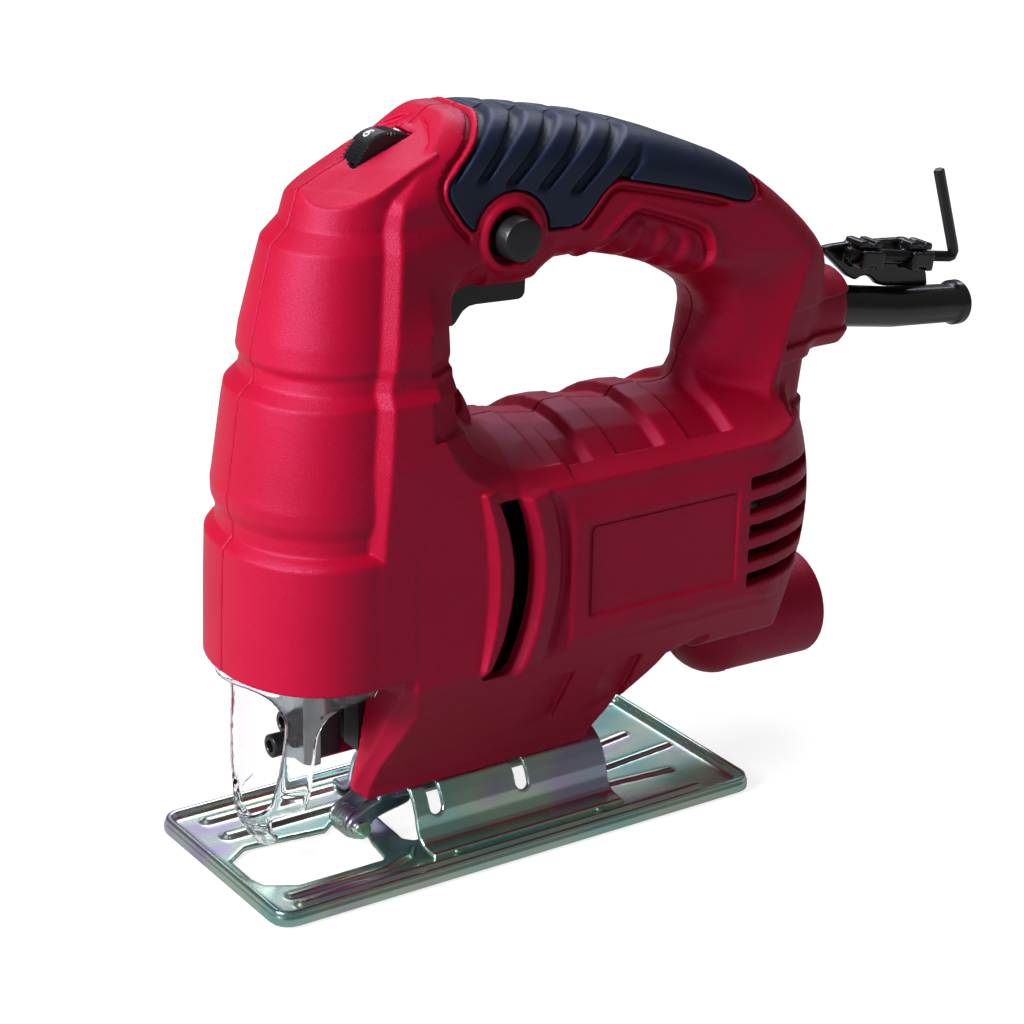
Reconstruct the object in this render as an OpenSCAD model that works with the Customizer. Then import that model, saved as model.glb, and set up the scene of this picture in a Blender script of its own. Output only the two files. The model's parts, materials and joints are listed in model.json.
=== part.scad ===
// Corded jigsaw with a D handle, built as an assembly of separate pieces.
// Millimetres. +X points to the nose, +Y to the side with the lock-on button, +Z up.
// Every piece is drawn about the middle of the shoe's underside and then moved by row_x,
// so that the whole tool is centred on the origin.

/* [Shoe] */
// Length of the shoe along the cut
shoe_l = 150; // [130:1:170]
// Width of the shoe
shoe_w = 66; // [60:1:72]
// Thickness of the shoe's sheet
shoe_t = 1.6; // [1.2:0.1:2]
// Height of the turned-up rim
rim_h = 3.2; // [2.5:0.1:5]

/* [Housing] */
// Half the width of the motor housing
motor_hw = 31; // [30:0.5:33]
// Half the width of the handle
grip_hw = 18; // [16:0.5:20]
// Wall of the casing
wall = 2.6; // [2.2:0.1:3]
// Depth of the overmoulded soft grip
soft_t = 1.5; // [1:0.1:1.8]
// Half the width of the foot that sits on the bevel arch
foot_hw = 13; // [11:0.5:13]

/* [Drive] */
// Height of the motor shaft above the sole
motor_z = 72; // [71:0.5:73]
// Gear module
gear_m = 0.8; // [0.8:0.01:0.82]
// Teeth on the motor pinion
pinion_n = 12; // [12:1:14]
// Teeth on the drive gear
drive_n = 58; // [56:1:60]
// Stroke of the plunger
stroke = 18; // [14:1:18]
// Plunger centre line, forward of the middle of the shoe
plunger_x = 46.5; // [46:0.5:47]
// Plunger radius
plunger_r = 5; // [4.5:0.1:5]

/* [Bevel] */
// Outer radius of the bevel arch about the tilt axis
arch_r = 22.5; // [22:0.1:23]
// Thickness of the arch's sheet
arch_t = 2; // [1.5:0.1:2]

/* [Controls] */
// Radius of the speed dial
dial_r = 10.5; // [10:0.1:11]
// Travel of the trigger
trigger_travel = 5; // [3:0.5:5]
// Travel of the lock-on button
lock_travel = 4; // [2:0.5:4]

/* [Cable end] */
// Outer radius of the cable sleeve
sleeve_r = 5.6; // [5:0.1:6]
// Radius of the cable hole in the sleeve
cable_r = 3.5; // [3:0.1:3.8]
// Across-corners radius of the hex key
key_r = 1.7; // [1.4:0.1:1.7]

/* [Hidden] */
$fn = 48;
eps = 0.01;
row_x = 47.5;
gear_z = motor_z + gear_m * (pinion_n + drive_n) / 2;
gear_x0 = 20;
gear_w = 7;
crank_r = stroke / 2;
press_angle = 22;
backlash = 0.10;
run = 0.05;
foot_r = arch_r + 0.25;
lock_pos = [-0.5, 165.3];
lock_collar = 4.2;
lock_stem = 3;
spring_y = 1.5;
trigger_top = 157;
lock_r = 5.6;
sleeve_tilt = 8;
sleeve_pos = [-106, 0, 126];
sleeve_len = 63.8;
key_tilt = 9;
key_pos = [-128, 1.5, 138.3];
key_len = 36;
key_rise = 27;
key_lean = 18;
dial_pos = [26, 0, 181.2];
dust_z = 37;
dust_r = 15;
duct_l = 14;
screw_in = 10;
screw_r = 1.6;
screw_head_y = 15.2;
screw_head_r = 2.9;
plate_x = -42.5;
plate_z = 76;
plate_l = 47;
plate_h = 25;
vent_pos = [49.8, 79.5];
vent_r = 51.4;
roller_pos = [35.6, 0, 5.7];
arch_x0 = -36;
arch_x1 = 25.4;
boss_pos = [-104, 0, 127];

// ---------- outlines of the casing ----------

// Side view of the whole casing, x forward and z up
casing_side = [
    [72.6, 58.6], [72.4, 75], [71.6, 91], [69.8, 94], [69.8, 98], [70.4, 104], [68.8, 118], [66.6, 130.7],
    [63.6, 132.5], [63.2, 140], [60.8, 154], [57.6, 166.7], [54, 170], [50.2, 180.2],
    [36, 185], [27, 188.9], [19.5, 192.8], [14.5, 195.6], [11, 196.3], [0, 195.2], [-20, 191.6], [-42, 186.6],
    [-65, 178.6], [-79, 171.2], [-91, 162.3], [-101, 153], [-107, 145], [-109, 138], [-108.4, 130],
    [-105.4, 118], [-104, 100], [-104.6, 85], [-106, 64], [-105, 50], [-99, 42.5], [-90, 40.5],
    [-47, 40.5], [-38, 28.5], [-30, 18.2], [42, 18.2], [38.4, 31], [36, 45], [36, 58.6]
];
// Hole of the D handle
handle_hole = [
    [12, 150.5], [14.2, 146], [14.2, 133], [5.5, 119], [3.5, 114], [-5, 112.2], [-25, 112.6], [-54, 112.4],
    [-65, 116], [-73, 130], [-71, 137], [-64, 141.8], [-50.7, 148.7], [-35.2, 153.8],
    [-17.7, 156.4], [-13, 153.6], [-9, 150.5]
];
// Cross section of the motor casing, y across and z up
motor_section = [
    [0, 40.5], [21, 40.5], [27.5, 45], [motor_hw, 54], [motor_hw, 94], [29.4, 100.5], [25, 105],
    [17, 109.5], [8, 112.2], [0, 113]
];
// Plan view of the motor casing, whose rear is rounded between the sides
motor_plan = [
    [20, 36], [-70, 36], [-70, 30.4], [-80, 29.6], [-88, 27.2], [-94, 24], [-97, 21.6], [-100, 18.2], [-103, 12.8],
    [-105, 7], [-106.5, 0], [-105, -7], [-103, -12.8], [-100, -18.2], [-97, -21.6], [-94, -24], [-88, -27.2],
    [-80, -29.6], [-70, -30.4], [-70, -36], [20, -36]
];
// Cross section of the foot, which widens into the motor casing
foot_section = [
    [0, 15], [foot_hw, 15], [foot_hw, 21.5], [16, 28], [22, 38], [26.5, 44.5], [26.5, 60], [0, 60]
];
// Bands of the nose and column: bottom, top, half widths, front edges and half width at the rear
nose_bands = [
    [58.6, 91.4, 32, 30.4, 72.8, 72, 30.4],
    [91.4, 131, 29.6, 27.4, 70.6, 67, 23],
    [131, 167, 26.4, 20.4, 64.2, 58.6, 18],
    [167, 198, 19.4, 17.6, 55, 50.5, 16.5]
];
nose_x0 = 36;
band_l = 34;

module in_row() translate([row_x, 0, 0]) children();

// A side-view shape made solid across the tool
module across(half_w) rotate([90, 0, 0]) linear_extrude(2 * half_w, center = true) children();

// A shape drawn in y and z made solid along x
module along_x(x0, x1) translate([x0, 0, 0]) rotate([90, 0, 90]) linear_extrude(x1 - x0) children();

module both_ways(pts) {
    polygon(pts);
    mirror([1, 0]) polygon(pts);
}

module casing_profile(inset)
    difference() {
        offset(delta = -inset) polygon(casing_side);
        offset(delta = inset) polygon(handle_hole);
    }

// One band of the nose: a bow front and flat sides that taper upwards
module nose_band(b, inset) {
    hw = b[2] - inset;
    len_x = b[4] - nose_x0 - inset;
    translate([nose_x0, 0, b[0] - eps])
        linear_extrude(b[1] - b[0] + 2 * eps, slices = 1,
                       scale = [(b[5] - nose_x0) / (b[4] - nose_x0), b[3] / b[2]])
            union() {
                scale([len_x, hw]) circle(1, $fn = 36);
                polygon([[0, -hw], [0, hw], [-band_l, b[6] - inset], [-band_l, inset - b[6]]]);
            }
}

// Handle, column and rear leg as three layers that step in towards the sides
module handle_layers(inset)
    for (step = [[4.6, 0], [2, 1.6], [0, 4.2]])
        across(grip_hw - step[0] - inset)
            offset(delta = -step[1])
                intersection() {
                    casing_profile(inset);
                    translate([-150, 60]) square([150 + nose_x0, 160]);
                }

// The casing's solid, shrunk on all sides by inset
module casing_solid(inset) {
    handle_layers(inset);
    intersection() {
        across(40) casing_profile(inset);
        union() {
            for (b = nose_bands) nose_band(b, inset);
            intersection() {
                along_x(-110, 14) offset(delta = -inset) both_ways(motor_section);
                translate([0, 0, 20]) linear_extrude(120) offset(delta = -inset) polygon(motor_plan);
            }
            along_x(-60, 60) offset(delta = -inset) both_ways(foot_section);
        }
    }
}

// ---------- casing ----------

module screw_sites()
    for (p = [[-97, 56], [-97, 93], [-19.5, 47], [27, 53], [40, 158], [24, 140], [-55, 165.5], [-93, 141]])
        translate([p[0], 0, p[1]]) rotate([90, 0, 0]) children();

module vents() {
    // one curved outlet for the fan's air on each side
    for (side = [-1, 1])
        translate([vent_pos[0], side * 30, vent_pos[1]]) rotate([90, 0, 0])
            intersection() {
                difference() {
                    cylinder(r = vent_r + 2.2, h = 12, center = true, $fn = 120);
                    cylinder(r = vent_r - 2.2, h = 13, center = true, $fn = 120);
                }
                translate([-50, -3.7, 0]) cube([24, 47, 14], center = true);
            }
    // five cooling louvres on each rear corner
    for (k = [0 : 4], side = [-1, 1])
        translate([-86.5, side * 28, 62.4 + 6.9 * k]) cube([33, 14, 3], center = true);
}

module casing() {
    difference() {
        union() {
            difference() {
                union() {
                    casing_solid(0);
                    // duct that leads down to the dust outlet
                    translate([-83, 0, dust_z]) rotate([0, 90, 0]) cylinder(r1 = dust_r, r2 = 8, h = duct_l);
                    translate(boss_pos) rotate([0, -90 - sleeve_tilt, 0]) cylinder(r1 = 14, r2 = 10.5, h = 16);
                    translate([lock_pos[0], 0, lock_pos[1]]) rotate([90, 0, 0])
                        cylinder(r = lock_r + lock_collar, h = 2 * grip_hw + 3, center = true);
                }
                casing_solid(wall);
                // open mouth of the nose and of the blade space between the foot's cheeks
                translate([36, -24, 50]) cube([34, 48, 16.6]);
                translate([34.5, -9, 10]) cube([20, 18, 56.6]);
                vents();
            }
            intersection() {
                casing_solid(0.5);
                union() {
                    screw_sites() cylinder(r = 3.6, h = 70, center = true);
                    // webs that hold the motor, the bearings and the bushes
                    for (x = [-62, -26]) translate([x, 0, motor_z]) rotate([0, 90, 0])
                        cylinder(r = 36, h = 2.4, center = true);
                    translate([-96.9, 0, motor_z]) rotate([0, 90, 0]) cylinder(r = 13, h = 11, center = true);
                    translate([4.5, 0, motor_z]) rotate([0, 90, 0]) cylinder(r = 15, h = 8.3);
                    translate([8, 0, 85]) cube([2.6, 70, 60], center = true);
                }
            }
        }
        screw_sites() translate([0, 0, -screw_in]) cylinder(r = screw_r, h = screw_in + 20);
        screw_sites() translate([0, 0, screw_head_y]) cylinder(r = screw_head_r + 0.2, h = 60);
        // motor tunnel, bearing seats and gear space
        translate([-83, 0, motor_z]) rotate([0, 90, 0]) cylinder(r = 27.2, h = 86);
        translate([-97, 0, motor_z]) rotate([0, 90, 0]) cylinder(r = 9.5, h = 6);
        translate([-99, 0, motor_z]) rotate([0, 90, 0]) cylinder(r = 5, h = 6);
        translate([12.9, 0, gear_z]) rotate([0, 90, 0]) cylinder(r = 24.9, h = 21.8);
        translate([12.9, -19.2, 60.4]) cube([21.8, 38.4, 51.8]);
        translate([3, 0, motor_z]) rotate([0, 90, 0]) cylinder(r = 11, h = 10);
        translate([-83.5, 0, dust_z]) rotate([0, 90, 0]) cylinder(r1 = dust_r - 2, r2 = 6, h = duct_l - 2);
        // clear way for the dust tube
        translate([-121, 0, dust_z]) rotate([0, 90, 0]) cylinder(r = dust_r + 0.1, h = 38.2);
        // cable way through the rear boss
        translate(sleeve_pos) rotate([0, -90 - sleeve_tilt, 0]) cylinder(r = sleeve_r + 0.1, h = 40);
        translate(sleeve_pos) rotate([0, 90 - sleeve_tilt, 0]) cylinder(r = sleeve_r + 0.1, h = 6);
        // lock button way
        translate([lock_pos[0], 0, lock_pos[1]]) rotate([-90, 0, 0]) cylinder(r = lock_r + 0.3, h = 30);
        // dial slot and trigger slot
        translate([dial_pos[0], 0, dial_pos[2]]) rotate([90, 0, 0]) cylinder(r = dial_r + 0.7, h = 8.4, center = true);
        translate([-1.5, 0, 150]) cube([25, 16.8, 16], center = true);
        // recesses for the side plates
        for (side = [-1, 1]) translate([plate_x, side * (motor_hw + 0.1), plate_z])
            rotate([90, 0, 0]) linear_extrude(2, center = true) rounded(plate_l + 0.4, plate_h + 0.4, 1.5);
        // hollow underside that rides on the arch
        rotate([0, 90, 0]) cylinder(r = foot_r, h = 140, center = true, $fn = 96);
        // way for the bevel screw
        translate([5, 0, 15]) cylinder(r = 2.1, h = 30);
        translate([5, 0, 32]) cube([7.4, 8.2, 3.6], center = true);
        // room for the soft grip
        grip_region(0, soft_t);
    }
}

module rounded(w, h, r) offset(r) square([w - 2 * r, h - 2 * r], center = true);

module housing_half(side)
    intersection() {
        casing();
        translate([-200, side > 0 ? 0 : -60, -10]) cube([300, 60, 240]);
    }

module housing_left() color("firebrick") in_row() housing_half(1);
module housing_right() color("firebrick") in_row() housing_half(-1);

// ---------- soft grip ----------

grip_outline = [
    [12, 200], [11, 194], [18.4, 182], [18.8, 178], [12.5, 168.6], [-12, 164.6], [-22, 164.8], [-30.5, 173.6],
    [-34, 175], [-64, 167.2], [-77, 162.4], [-79.6, 164.6], [-79, 170], [-70, 184], [-40, 196], [0, 204]
];

// Outer skin of the handle inside the grip outline, from the surface down to depth
module grip_region(trim, depth)
    intersection() {
        difference() {
            handle_layers(0);
            handle_layers(depth);
        }
        across(30) offset(delta = -trim) polygon(grip_outline);
    }

module grip_half(side) color([0.12, 0.13, 0.19]) in_row()
    difference() {
        intersection() {
            grip_region(0.15, soft_t - 0.1);
            translate([-200, side > 0 ? 0 : -60, -10]) cube([300, 60, 240]);
        }
        translate([lock_pos[0], 0, lock_pos[1]]) rotate([90, 0, 0]) cylinder(r = lock_r + lock_collar + 0.2, h = 60, center = true);
    }
module grip_left() grip_half(1);
module grip_right() grip_half(-1);

// ---------- trim and covers ----------

module side_plates() color("darkred") in_row()
    for (side = [-1, 1])
        translate([plate_x, side * (motor_hw - 0.4), plate_z]) rotate([90, 0, 0])
            linear_extrude(1, center = true) rounded(plate_l, plate_h, 1.4);

module dust_port() color("firebrick") in_row()
    translate([-113, 0, dust_z]) rotate([0, 90, 0])
        difference() {
            union() {
                cylinder(r = dust_r, h = 30);
                cylinder(r = dust_r + 0.6, h = 4);
            }
            translate([0, 0, -1]) cylinder(r = dust_r - 2, h = 32);
        }

// Side view of the clear guard
guard_side = [
    [37, 64], [37, 50], [45, 49], [52, 46], [55.5, 40], [56.5, 22], [60, 18.5], [58.5, 6.5], [62, 6.5],
    [66, 13], [69.6, 22.6], [71, 40], [72, 57], [72, 58.2], [67, 58.4], [67, 64]
];
module guard_plan(r_x, hw) {
    intersection() {
        scale([r_x, hw]) circle(1, $fn = 64);
        translate([0, -50]) square(100);
    }
    translate([-60, -hw]) square([60.1, 2 * hw]);
}
module front_guard() color([0.85, 0.9, 0.95, 0.35]) in_row()
    difference() {
        intersection() {
            across(30) polygon(guard_side);
            along_x(20, 90) polygon([[-30, 34.5], [-30, 90], [30, 90], [30, 34.5], [1, 5.5], [-1, 5.5]]);
            translate([48, 0, 0]) linear_extrude(80)
                difference() {
                    guard_plan(23, 18);
                    guard_plan(21.2, 16.2);
                }
        }
        // window at the front
        translate([60, -9.5, 15]) cube([20, 19, 36]);
    }

module guard_baffle() color("black") in_row()
    difference() {
        translate([34.8, -8.6, 30]) cube([3.2, 17.2, 34]);
        translate([38, 0, 20]) cylinder(r = 1.5, h = 60);
    }

// ---------- controls ----------

module speed_dial() color([0.08, 0.08, 0.09]) in_row()
    translate(dial_pos) rotate([90, 0, 0])
        difference() {
            union() {
                cylinder(r = dial_r - 0.5, h = 7.4, center = true);
                for (a = [0 : 15 : 345]) rotate(a) translate([dial_r - 0.7, 0, 0])
                    cube([1, 1.4, 7.4], center = true);
            }
            cylinder(r = 2.05, h = 9, center = true);
        }

module speed_board() color("darkgreen") in_row() {
    translate([dial_pos[0], 0, 168.5]) cube([23, 22, 1.6], center = true);
    for (s = [-1, 1]) translate([dial_pos[0], s * 6.4, 175.4]) cube([5, 2.2, 12.4], center = true);
    translate(dial_pos) rotate([90, 0, 0]) cylinder(r = 2, h = 15, center = true);
}

module switch_body() color([0.15, 0.15, 0.16]) in_row()
    difference() {
        translate([-16, -9, 164.5]) cube([29, 18, 13]);
        translate([lock_pos[0], spring_y - 0.1, lock_pos[1]]) rotate([-90, 0, 0])
            cylinder(r = lock_stem + 0.4, h = 10);
        translate([6.2, 0, 160]) cylinder(r = 2.7, h = 9 + trigger_travel);
        translate([-10, 0, 160]) cylinder(r = 3.2, h = 6);
    }

// Side view of the trigger: a shallow finger hook under a flat top
trigger_side = [
    [11, trigger_top], [11, 146.5], [8.5, 144.4], [4, 144.6], [-3, 143.4], [-9, 143.2], [-12, 146.5], [-12.6, trigger_top]
];
module trigger() color([0.1, 0.1, 0.11]) in_row() {
    across(8) polygon(trigger_side);
    translate([6.2, 0, trigger_top - 1]) cylinder(r = 2.4, h = 7);
}

module trigger_spring() color("silver") in_row()
    translate([-10, 0, trigger_top + 0.1]) difference() {
        cylinder(r = 2.6, h = 8.8);
        translate([0, 0, -1]) cylinder(r = 1.7, h = 12);
    }

module lock_button() color([0.1, 0.1, 0.11]) in_row()
    translate([lock_pos[0], 0, lock_pos[1]]) rotate([-90, 0, 0]) {
        translate([0, 0, 8.6]) cylinder(r = lock_stem, h = 6);
        translate([0, 0, 9.2 + lock_travel]) cylinder(r = lock_r, h = 10.2);
    }

module lock_spring() color("silver") in_row()
    translate([lock_pos[0], spring_y, lock_pos[1]]) rotate([-90, 0, 0]) difference() {
        cylinder(r = lock_stem, h = 7);
        translate([0, 0, -1]) cylinder(r = lock_stem - 0.9, h = 9);
    }

// ---------- motor ----------

module on_motor_axis(x) translate([x, 0, motor_z]) rotate([0, 90, 0]) children();

module field_stator() color([0.45, 0.46, 0.48]) in_row()
    on_motor_axis(-60) difference() {
        cylinder(r = 27, h = 33);
        translate([0, 0, -1]) cylinder(r = 17.6, h = 35);
        for (s = [-1, 1]) translate([-9, s > 0 ? 17 : -23.5, -1]) cube([18, 6.5, 35]);
    }

module field_coils() color([0.72, 0.4, 0.18]) in_row()
    for (s = [-1, 1]) on_motor_axis(-63) translate([-8.5, s > 0 ? 18.2 : -23, 0]) cube([17, 4.8, 39]);

module armature_shaft() color("silver") in_row()
    on_motor_axis(-91.5) union() {
        cylinder(r = 4, h = 110.8);
        cylinder(r = 3, h = 119.3);
    }

module armature_core() color([0.5, 0.5, 0.52]) in_row()
    on_motor_axis(-59) difference() {
        cylinder(r = 17, h = 31);
        translate([0, 0, -1]) cylinder(r = 4, h = 40);
        for (a = [0 : 30 : 330]) rotate(a) translate([15.6, 0, 15]) cube([4, 1.6, 40], center = true);
    }

module commutator() color([0.75, 0.45, 0.2]) in_row()
    on_motor_axis(-78) difference() {
        cylinder(r = 11, h = 13);
        translate([0, 0, -1]) cylinder(r = 4, h = 20);
        for (a = [0 : 15 : 345]) rotate(a) translate([11, 0, 7]) cube([1.2, 0.5, 20], center = true);
    }

module cooling_fan() color([0.2, 0.2, 0.22]) in_row()
    on_motor_axis(-14) difference() {
        union() {
            cylinder(r = 25.5, h = 2);
            cylinder(r = 8, h = 14);
            for (a = [0 : 40 : 320]) rotate(a) translate([7, -0.8, 0]) cube([18, 1.6, 11]);
        }
        translate([0, 0, -1]) cylinder(r = 4, h = 20);
    }

function involute(rb, t) = [rb * (cos(t) + t * PI / 180 * sin(t)), rb * (sin(t) - t * PI / 180 * cos(t))];
function turned(p, a) = [p[0] * cos(a) - p[1] * sin(a), p[0] * sin(a) + p[1] * cos(a)];
// Roll angle at which the involute of base rb reaches radius r
function roll(rb, r) = r <= rb ? 0 : sqrt(pow(r / rb, 2) - 1) * 180 / PI;

// Spur gear outline with involute flanks
module gear_2d(teeth) {
    rp = gear_m * teeth / 2;
    rb = rp * cos(press_angle);
    ra = rp + 0.9 * gear_m;
    rf = rp - 1.2 * gear_m;
    half = 90 / teeth - backlash / 2 / rp * 180 / PI + (tan(press_angle) * 180 / PI - press_angle);
    t0 = roll(rb, rf);
    t1 = roll(rb, ra);
    steps = 3;
    polygon([
        for (k = [0 : teeth - 1])
            let (c = 360 * k / teeth)
            each concat(
                [turned([min(rf, rb * 0.999), 0], c - half)],
                [for (i = [0 : steps]) turned(involute(rb, t0 + (t1 - t0) * i / steps), c - half)],
                [for (i = [steps : -1 : 0]) let (p = involute(rb, t0 + (t1 - t0) * i / steps))
                    turned([p[0], -p[1]], c + half)],
                [turned([min(rf, rb * 0.999), 0], c + half)]
            )
    ]);
}

module pinion() color("silver") in_row()
    on_motor_axis(gear_x0 - 0.5) rotate(180 + 180 / pinion_n) difference() {
        linear_extrude(gear_w + 1) gear_2d(pinion_n);
        translate([0, 0, -1]) cylinder(r = 3, h = 20);
    }

module bearing(r_out, r_in, h)
    difference() {
        cylinder(r = r_out, h = h);
        translate([0, 0, -1]) cylinder(r = r_in, h = h + 2);
        for (z = [-0.5, h - 0.5]) translate([0, 0, z]) difference() {
            cylinder(r = r_out * 0.84, h = 1);
            translate([0, 0, -1]) cylinder(r = r_in * 1.35, h = 3);
        }
    }
module front_bearing() color("silver") in_row() on_motor_axis(6) bearing(11, 4 + run, 7);
module rear_bearing() color("silver") in_row() on_motor_axis(-91.2) bearing(9.5, 4 + run, 6);

module brush_holders() color([0.8, 0.65, 0.3]) in_row()
    for (s = [-1, 1]) translate([-71.5, s * 18.2, motor_z]) difference() {
        cube([9, 13, 11], center = true);
        cube([6.1, 14, 8.1], center = true);
    }

module carbon_brushes() color([0.2, 0.2, 0.2]) in_row()
    for (s = [-1, 1]) translate([-71.5, s * 16.5, motor_z]) cube([6, 10.4, 8], center = true);

module capacitor() color("gold") in_row()
    translate([-58, -7, 102.6]) cube([17, 14, 5]);

// ---------- gear train and plunger ----------

module drive_gear() color([0.55, 0.56, 0.58]) in_row()
    translate([gear_x0, 0, gear_z]) rotate([0, 90, 0]) difference() {
        union() {
            linear_extrude(gear_w) gear_2d(drive_n);
            cylinder(r = 8, h = gear_w + 2);
        }
        translate([0, 0, -1]) cylinder(r = 4 + run, h = 20);
        translate([0, crank_r + 4, -1]) cylinder(r = 2.5, h = gear_w + 2);
        for (a = [-90, 0, 180]) rotate(a) translate([0, 15.5, -1]) cylinder(r = 3, h = 20);
    }

module crank_pin() color("silver") in_row()
    translate([gear_x0, 0, gear_z]) rotate([0, 90, 0]) translate([0, crank_r + 4, 0])
        union() {
            cylinder(r = 2.5, h = gear_w);
            translate([0, 0, gear_w]) cylinder(r = 4, h = 3);
            translate([0, 0, gear_w + 3]) cylinder(r = 2.5, h = 3.6);
        }

module gear_axle() color("silver") in_row()
    translate([gear_x0 - 7.5, 0, gear_z]) rotate([0, 90, 0]) cylinder(r = 4, h = gear_w + 7.5);

module bearing_plate() color([0.7, 0.71, 0.73]) in_row()
    difference() {
        translate([13, -19, 60.5]) cube([5, 38, 51.5]);
        translate([10, 0, gear_z]) rotate([0, 90, 0]) cylinder(r = 4, h = 20);
        on_motor_axis(10) cylinder(r = 7, h = 20);
    }

module plunger() color("silver") in_row()
    translate([plunger_x, 0, 44]) difference() {
        cylinder(r = plunger_r, h = 98);
        translate([0, 0, 30]) cylinder(r = plunger_r - 2, h = 80);
    }

// Slotted crosshead that the crank pin drives
module yoke() color([0.5, 0.5, 0.52]) in_row()
    difference() {
        translate([34.2, -19, gear_z - 7.5]) cube([6.8, 38, 15]);
        translate([33, -16, gear_z - 2.65]) cube([5.4, 32, 5.3]);
        translate([plunger_x, 0, 60]) cylinder(r = plunger_r, h = 80);
    }

module bush(z0, h) color([0.7, 0.6, 0.35]) in_row()
    translate([plunger_x, 0, z0]) difference() {
        union() {
            cylinder(r = plunger_r + 3, h = h);
            translate([-11.4, -7, 0]) cube([8, 14, h]);
        }
        translate([0, 0, -1]) cylinder(r = plunger_r + run, h = h + 2);
    }
module upper_bush() bush(113, 9);
module lower_bush() bush(64, 9);

module blade_clamp() color([0.62, 0.63, 0.65]) in_row()
    difference() {
        translate([41, -5, 27]) cube([11, 10, 17]);
        translate([39, -0.9, 26]) cube([8.2, 1.8, 14]);
        for (z = [33, 39.5]) translate([45, 0, z]) rotate([0, 90, 0]) cylinder(r = 2, h = 10);
    }

module clamp_screws() color([0.25, 0.25, 0.27]) in_row()
    for (z = [33, 39.5]) translate([47.3, 0, z]) rotate([0, 90, 0]) difference() {
        union() {
            cylinder(r = 2, h = 6.5);
            translate([0, 0, 4.7]) cylinder(r = 2.9, h = 3.8);
        }
        translate([0, 0, 6.6]) cylinder(r = 1.3, h = 3, $fn = 6);
    }

// ---------- blade guide ----------

module roller_bracket() color([0.6, 0.62, 0.64]) in_row()
    difference() {
        union() {
            translate([20.5, -5.2, 15.2 + 8.6]) cube([13.6, 10.4, 2]);
            translate([31.6, -5.2, 15.2 + 2]) cube([2.5, 10.4, 9.6]);
            for (s = [-1, 1]) translate([0, s * 3.9, 0]) across(0.5)
                polygon([[31.6, 20], [34.1, 20], [38.4, 6.8], [37.6, 3.4], [34.6, 3], [32.6, 4.6]]);
        }
        translate(roller_pos) rotate([90, 0, 0]) cylinder(r = 1.2, h = 20, center = true);
    }

module roller_pin() color("silver") in_row()
    translate(roller_pos) rotate([-90, 0, 0]) union() {
        translate([0, 0, -4.4]) cylinder(r = 1.2, h = 9);
        translate([0, 0, 4.6]) cylinder(r = 2.4, h = 1.4);
    }

module guide_roller() color([0.55, 0.56, 0.58]) in_row()
    translate(roller_pos) rotate([90, 0, 0]) difference() {
        union() {
            cylinder(r = 2.9, h = 6.4, center = true);
            for (s = [-1, 1]) translate([0, 0, s * 2.1]) cylinder(r = 3.6, h = 2.2, center = true);
        }
        cylinder(r = 1.2 + run, h = 10, center = true);
    }

// ---------- shoe and bevel ----------

module shoe() color([0.75, 0.77, 0.78]) in_row()
    difference() {
        union() {
            linear_extrude(shoe_t) rounded(shoe_l, shoe_w, 8);
            linear_extrude(rim_h) difference() {
                rounded(shoe_l, shoe_w, 8);
                rounded(shoe_l - 4, shoe_w - 4, 6);
            }
        }
        // blade opening
        translate([32, -9, -1]) linear_extrude(5) offset(3) polygon([[3, 3], [29, 3], [33.5, 9], [34, 18], [28, 22.5], [3, 22.5]]);
        // way to the bevel screw under the arch
        translate([-8, 0, -1]) linear_extrude(5) rounded(54, 26, 4);
    }

module bevel_arch() color([0.7, 0.72, 0.74]) in_row()
    difference() {
        union() {
            intersection() {
                translate([arch_x0, 0, 0]) rotate([0, 90, 0]) difference() {
                    cylinder(r = arch_r, h = arch_x1 - arch_x0, $fn = 96);
                    translate([0, 0, -1]) cylinder(r = arch_r - arch_t, h = 90, $fn = 96);
                }
                translate([-60, -30, shoe_t]) cube([120, 60, 40]);
            }
            for (s = [0, 1]) mirror([0, s, 0]) translate([arch_x0, arch_r - arch_t, shoe_t])
                cube([arch_x1 - arch_x0, 6.6, 1.5]);
        }
        // arc slots: two for the detents and one for the clamp screw
        for (x = [-8.4, 18.9]) arc_slot(x, 4, 55);
        arc_slot(5, 4.6, 52);
        // rivet holes
        arch_rivet_sites() cylinder(r = 1.5, h = 10, center = true);
    }

// A slot around the arch, with round ends
module arc_slot(x, w, a) {
    translate([x - w / 2, 0, 0]) rotate([90, 0, 90]) linear_extrude(w)
        polygon([[0, 0], for (k = [-5 : 5]) [30 * sin(a * k / 5), 30 * cos(a * k / 5)]]);
    for (s = [-1, 1]) rotate([s * a, 0, 0]) translate([x, 0, 10]) cylinder(r = w / 2 - 0.12, h = 20);
}

module arch_rivet_sites()
    for (x = [arch_x0 + 8, arch_x1 - 8], s = [-1, 1]) translate([x, s * 25, shoe_t]) children();

module arch_rivets() color([0.75, 0.77, 0.78]) in_row()
    arch_rivet_sites() union() {
        cylinder(r = 1.5, h = 1.5);
        translate([0, 0, 1.5]) cylinder(r = 2.2, h = 0.8);
    }

module bevel_plate() color([0.5, 0.5, 0.52]) in_row()
    difference() {
        intersection() {
            translate([-1, 0, 0]) rotate([0, 90, 0]) difference() {
                cylinder(r = arch_r - arch_t - 0.15, h = 12);
                translate([0, 0, -1]) cylinder(r = arch_r - arch_t - 2.4, h = 14);
            }
            translate([-5, -8, 10]) cube([20, 16, 20]);
        }
        translate([5, 0, 10]) cylinder(r = 2.05, h = 20);
    }

module bevel_screw() color([0.3, 0.3, 0.32]) in_row()
    translate([5, 0, 13.6]) difference() {
        union() {
            cylinder(r = 4, h = 3.9);
            cylinder(r = 2, h = 19.6);
        }
        translate([0, 0, -1]) cylinder(r = 1.7, h = 3.2, $fn = 6);
    }

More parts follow.
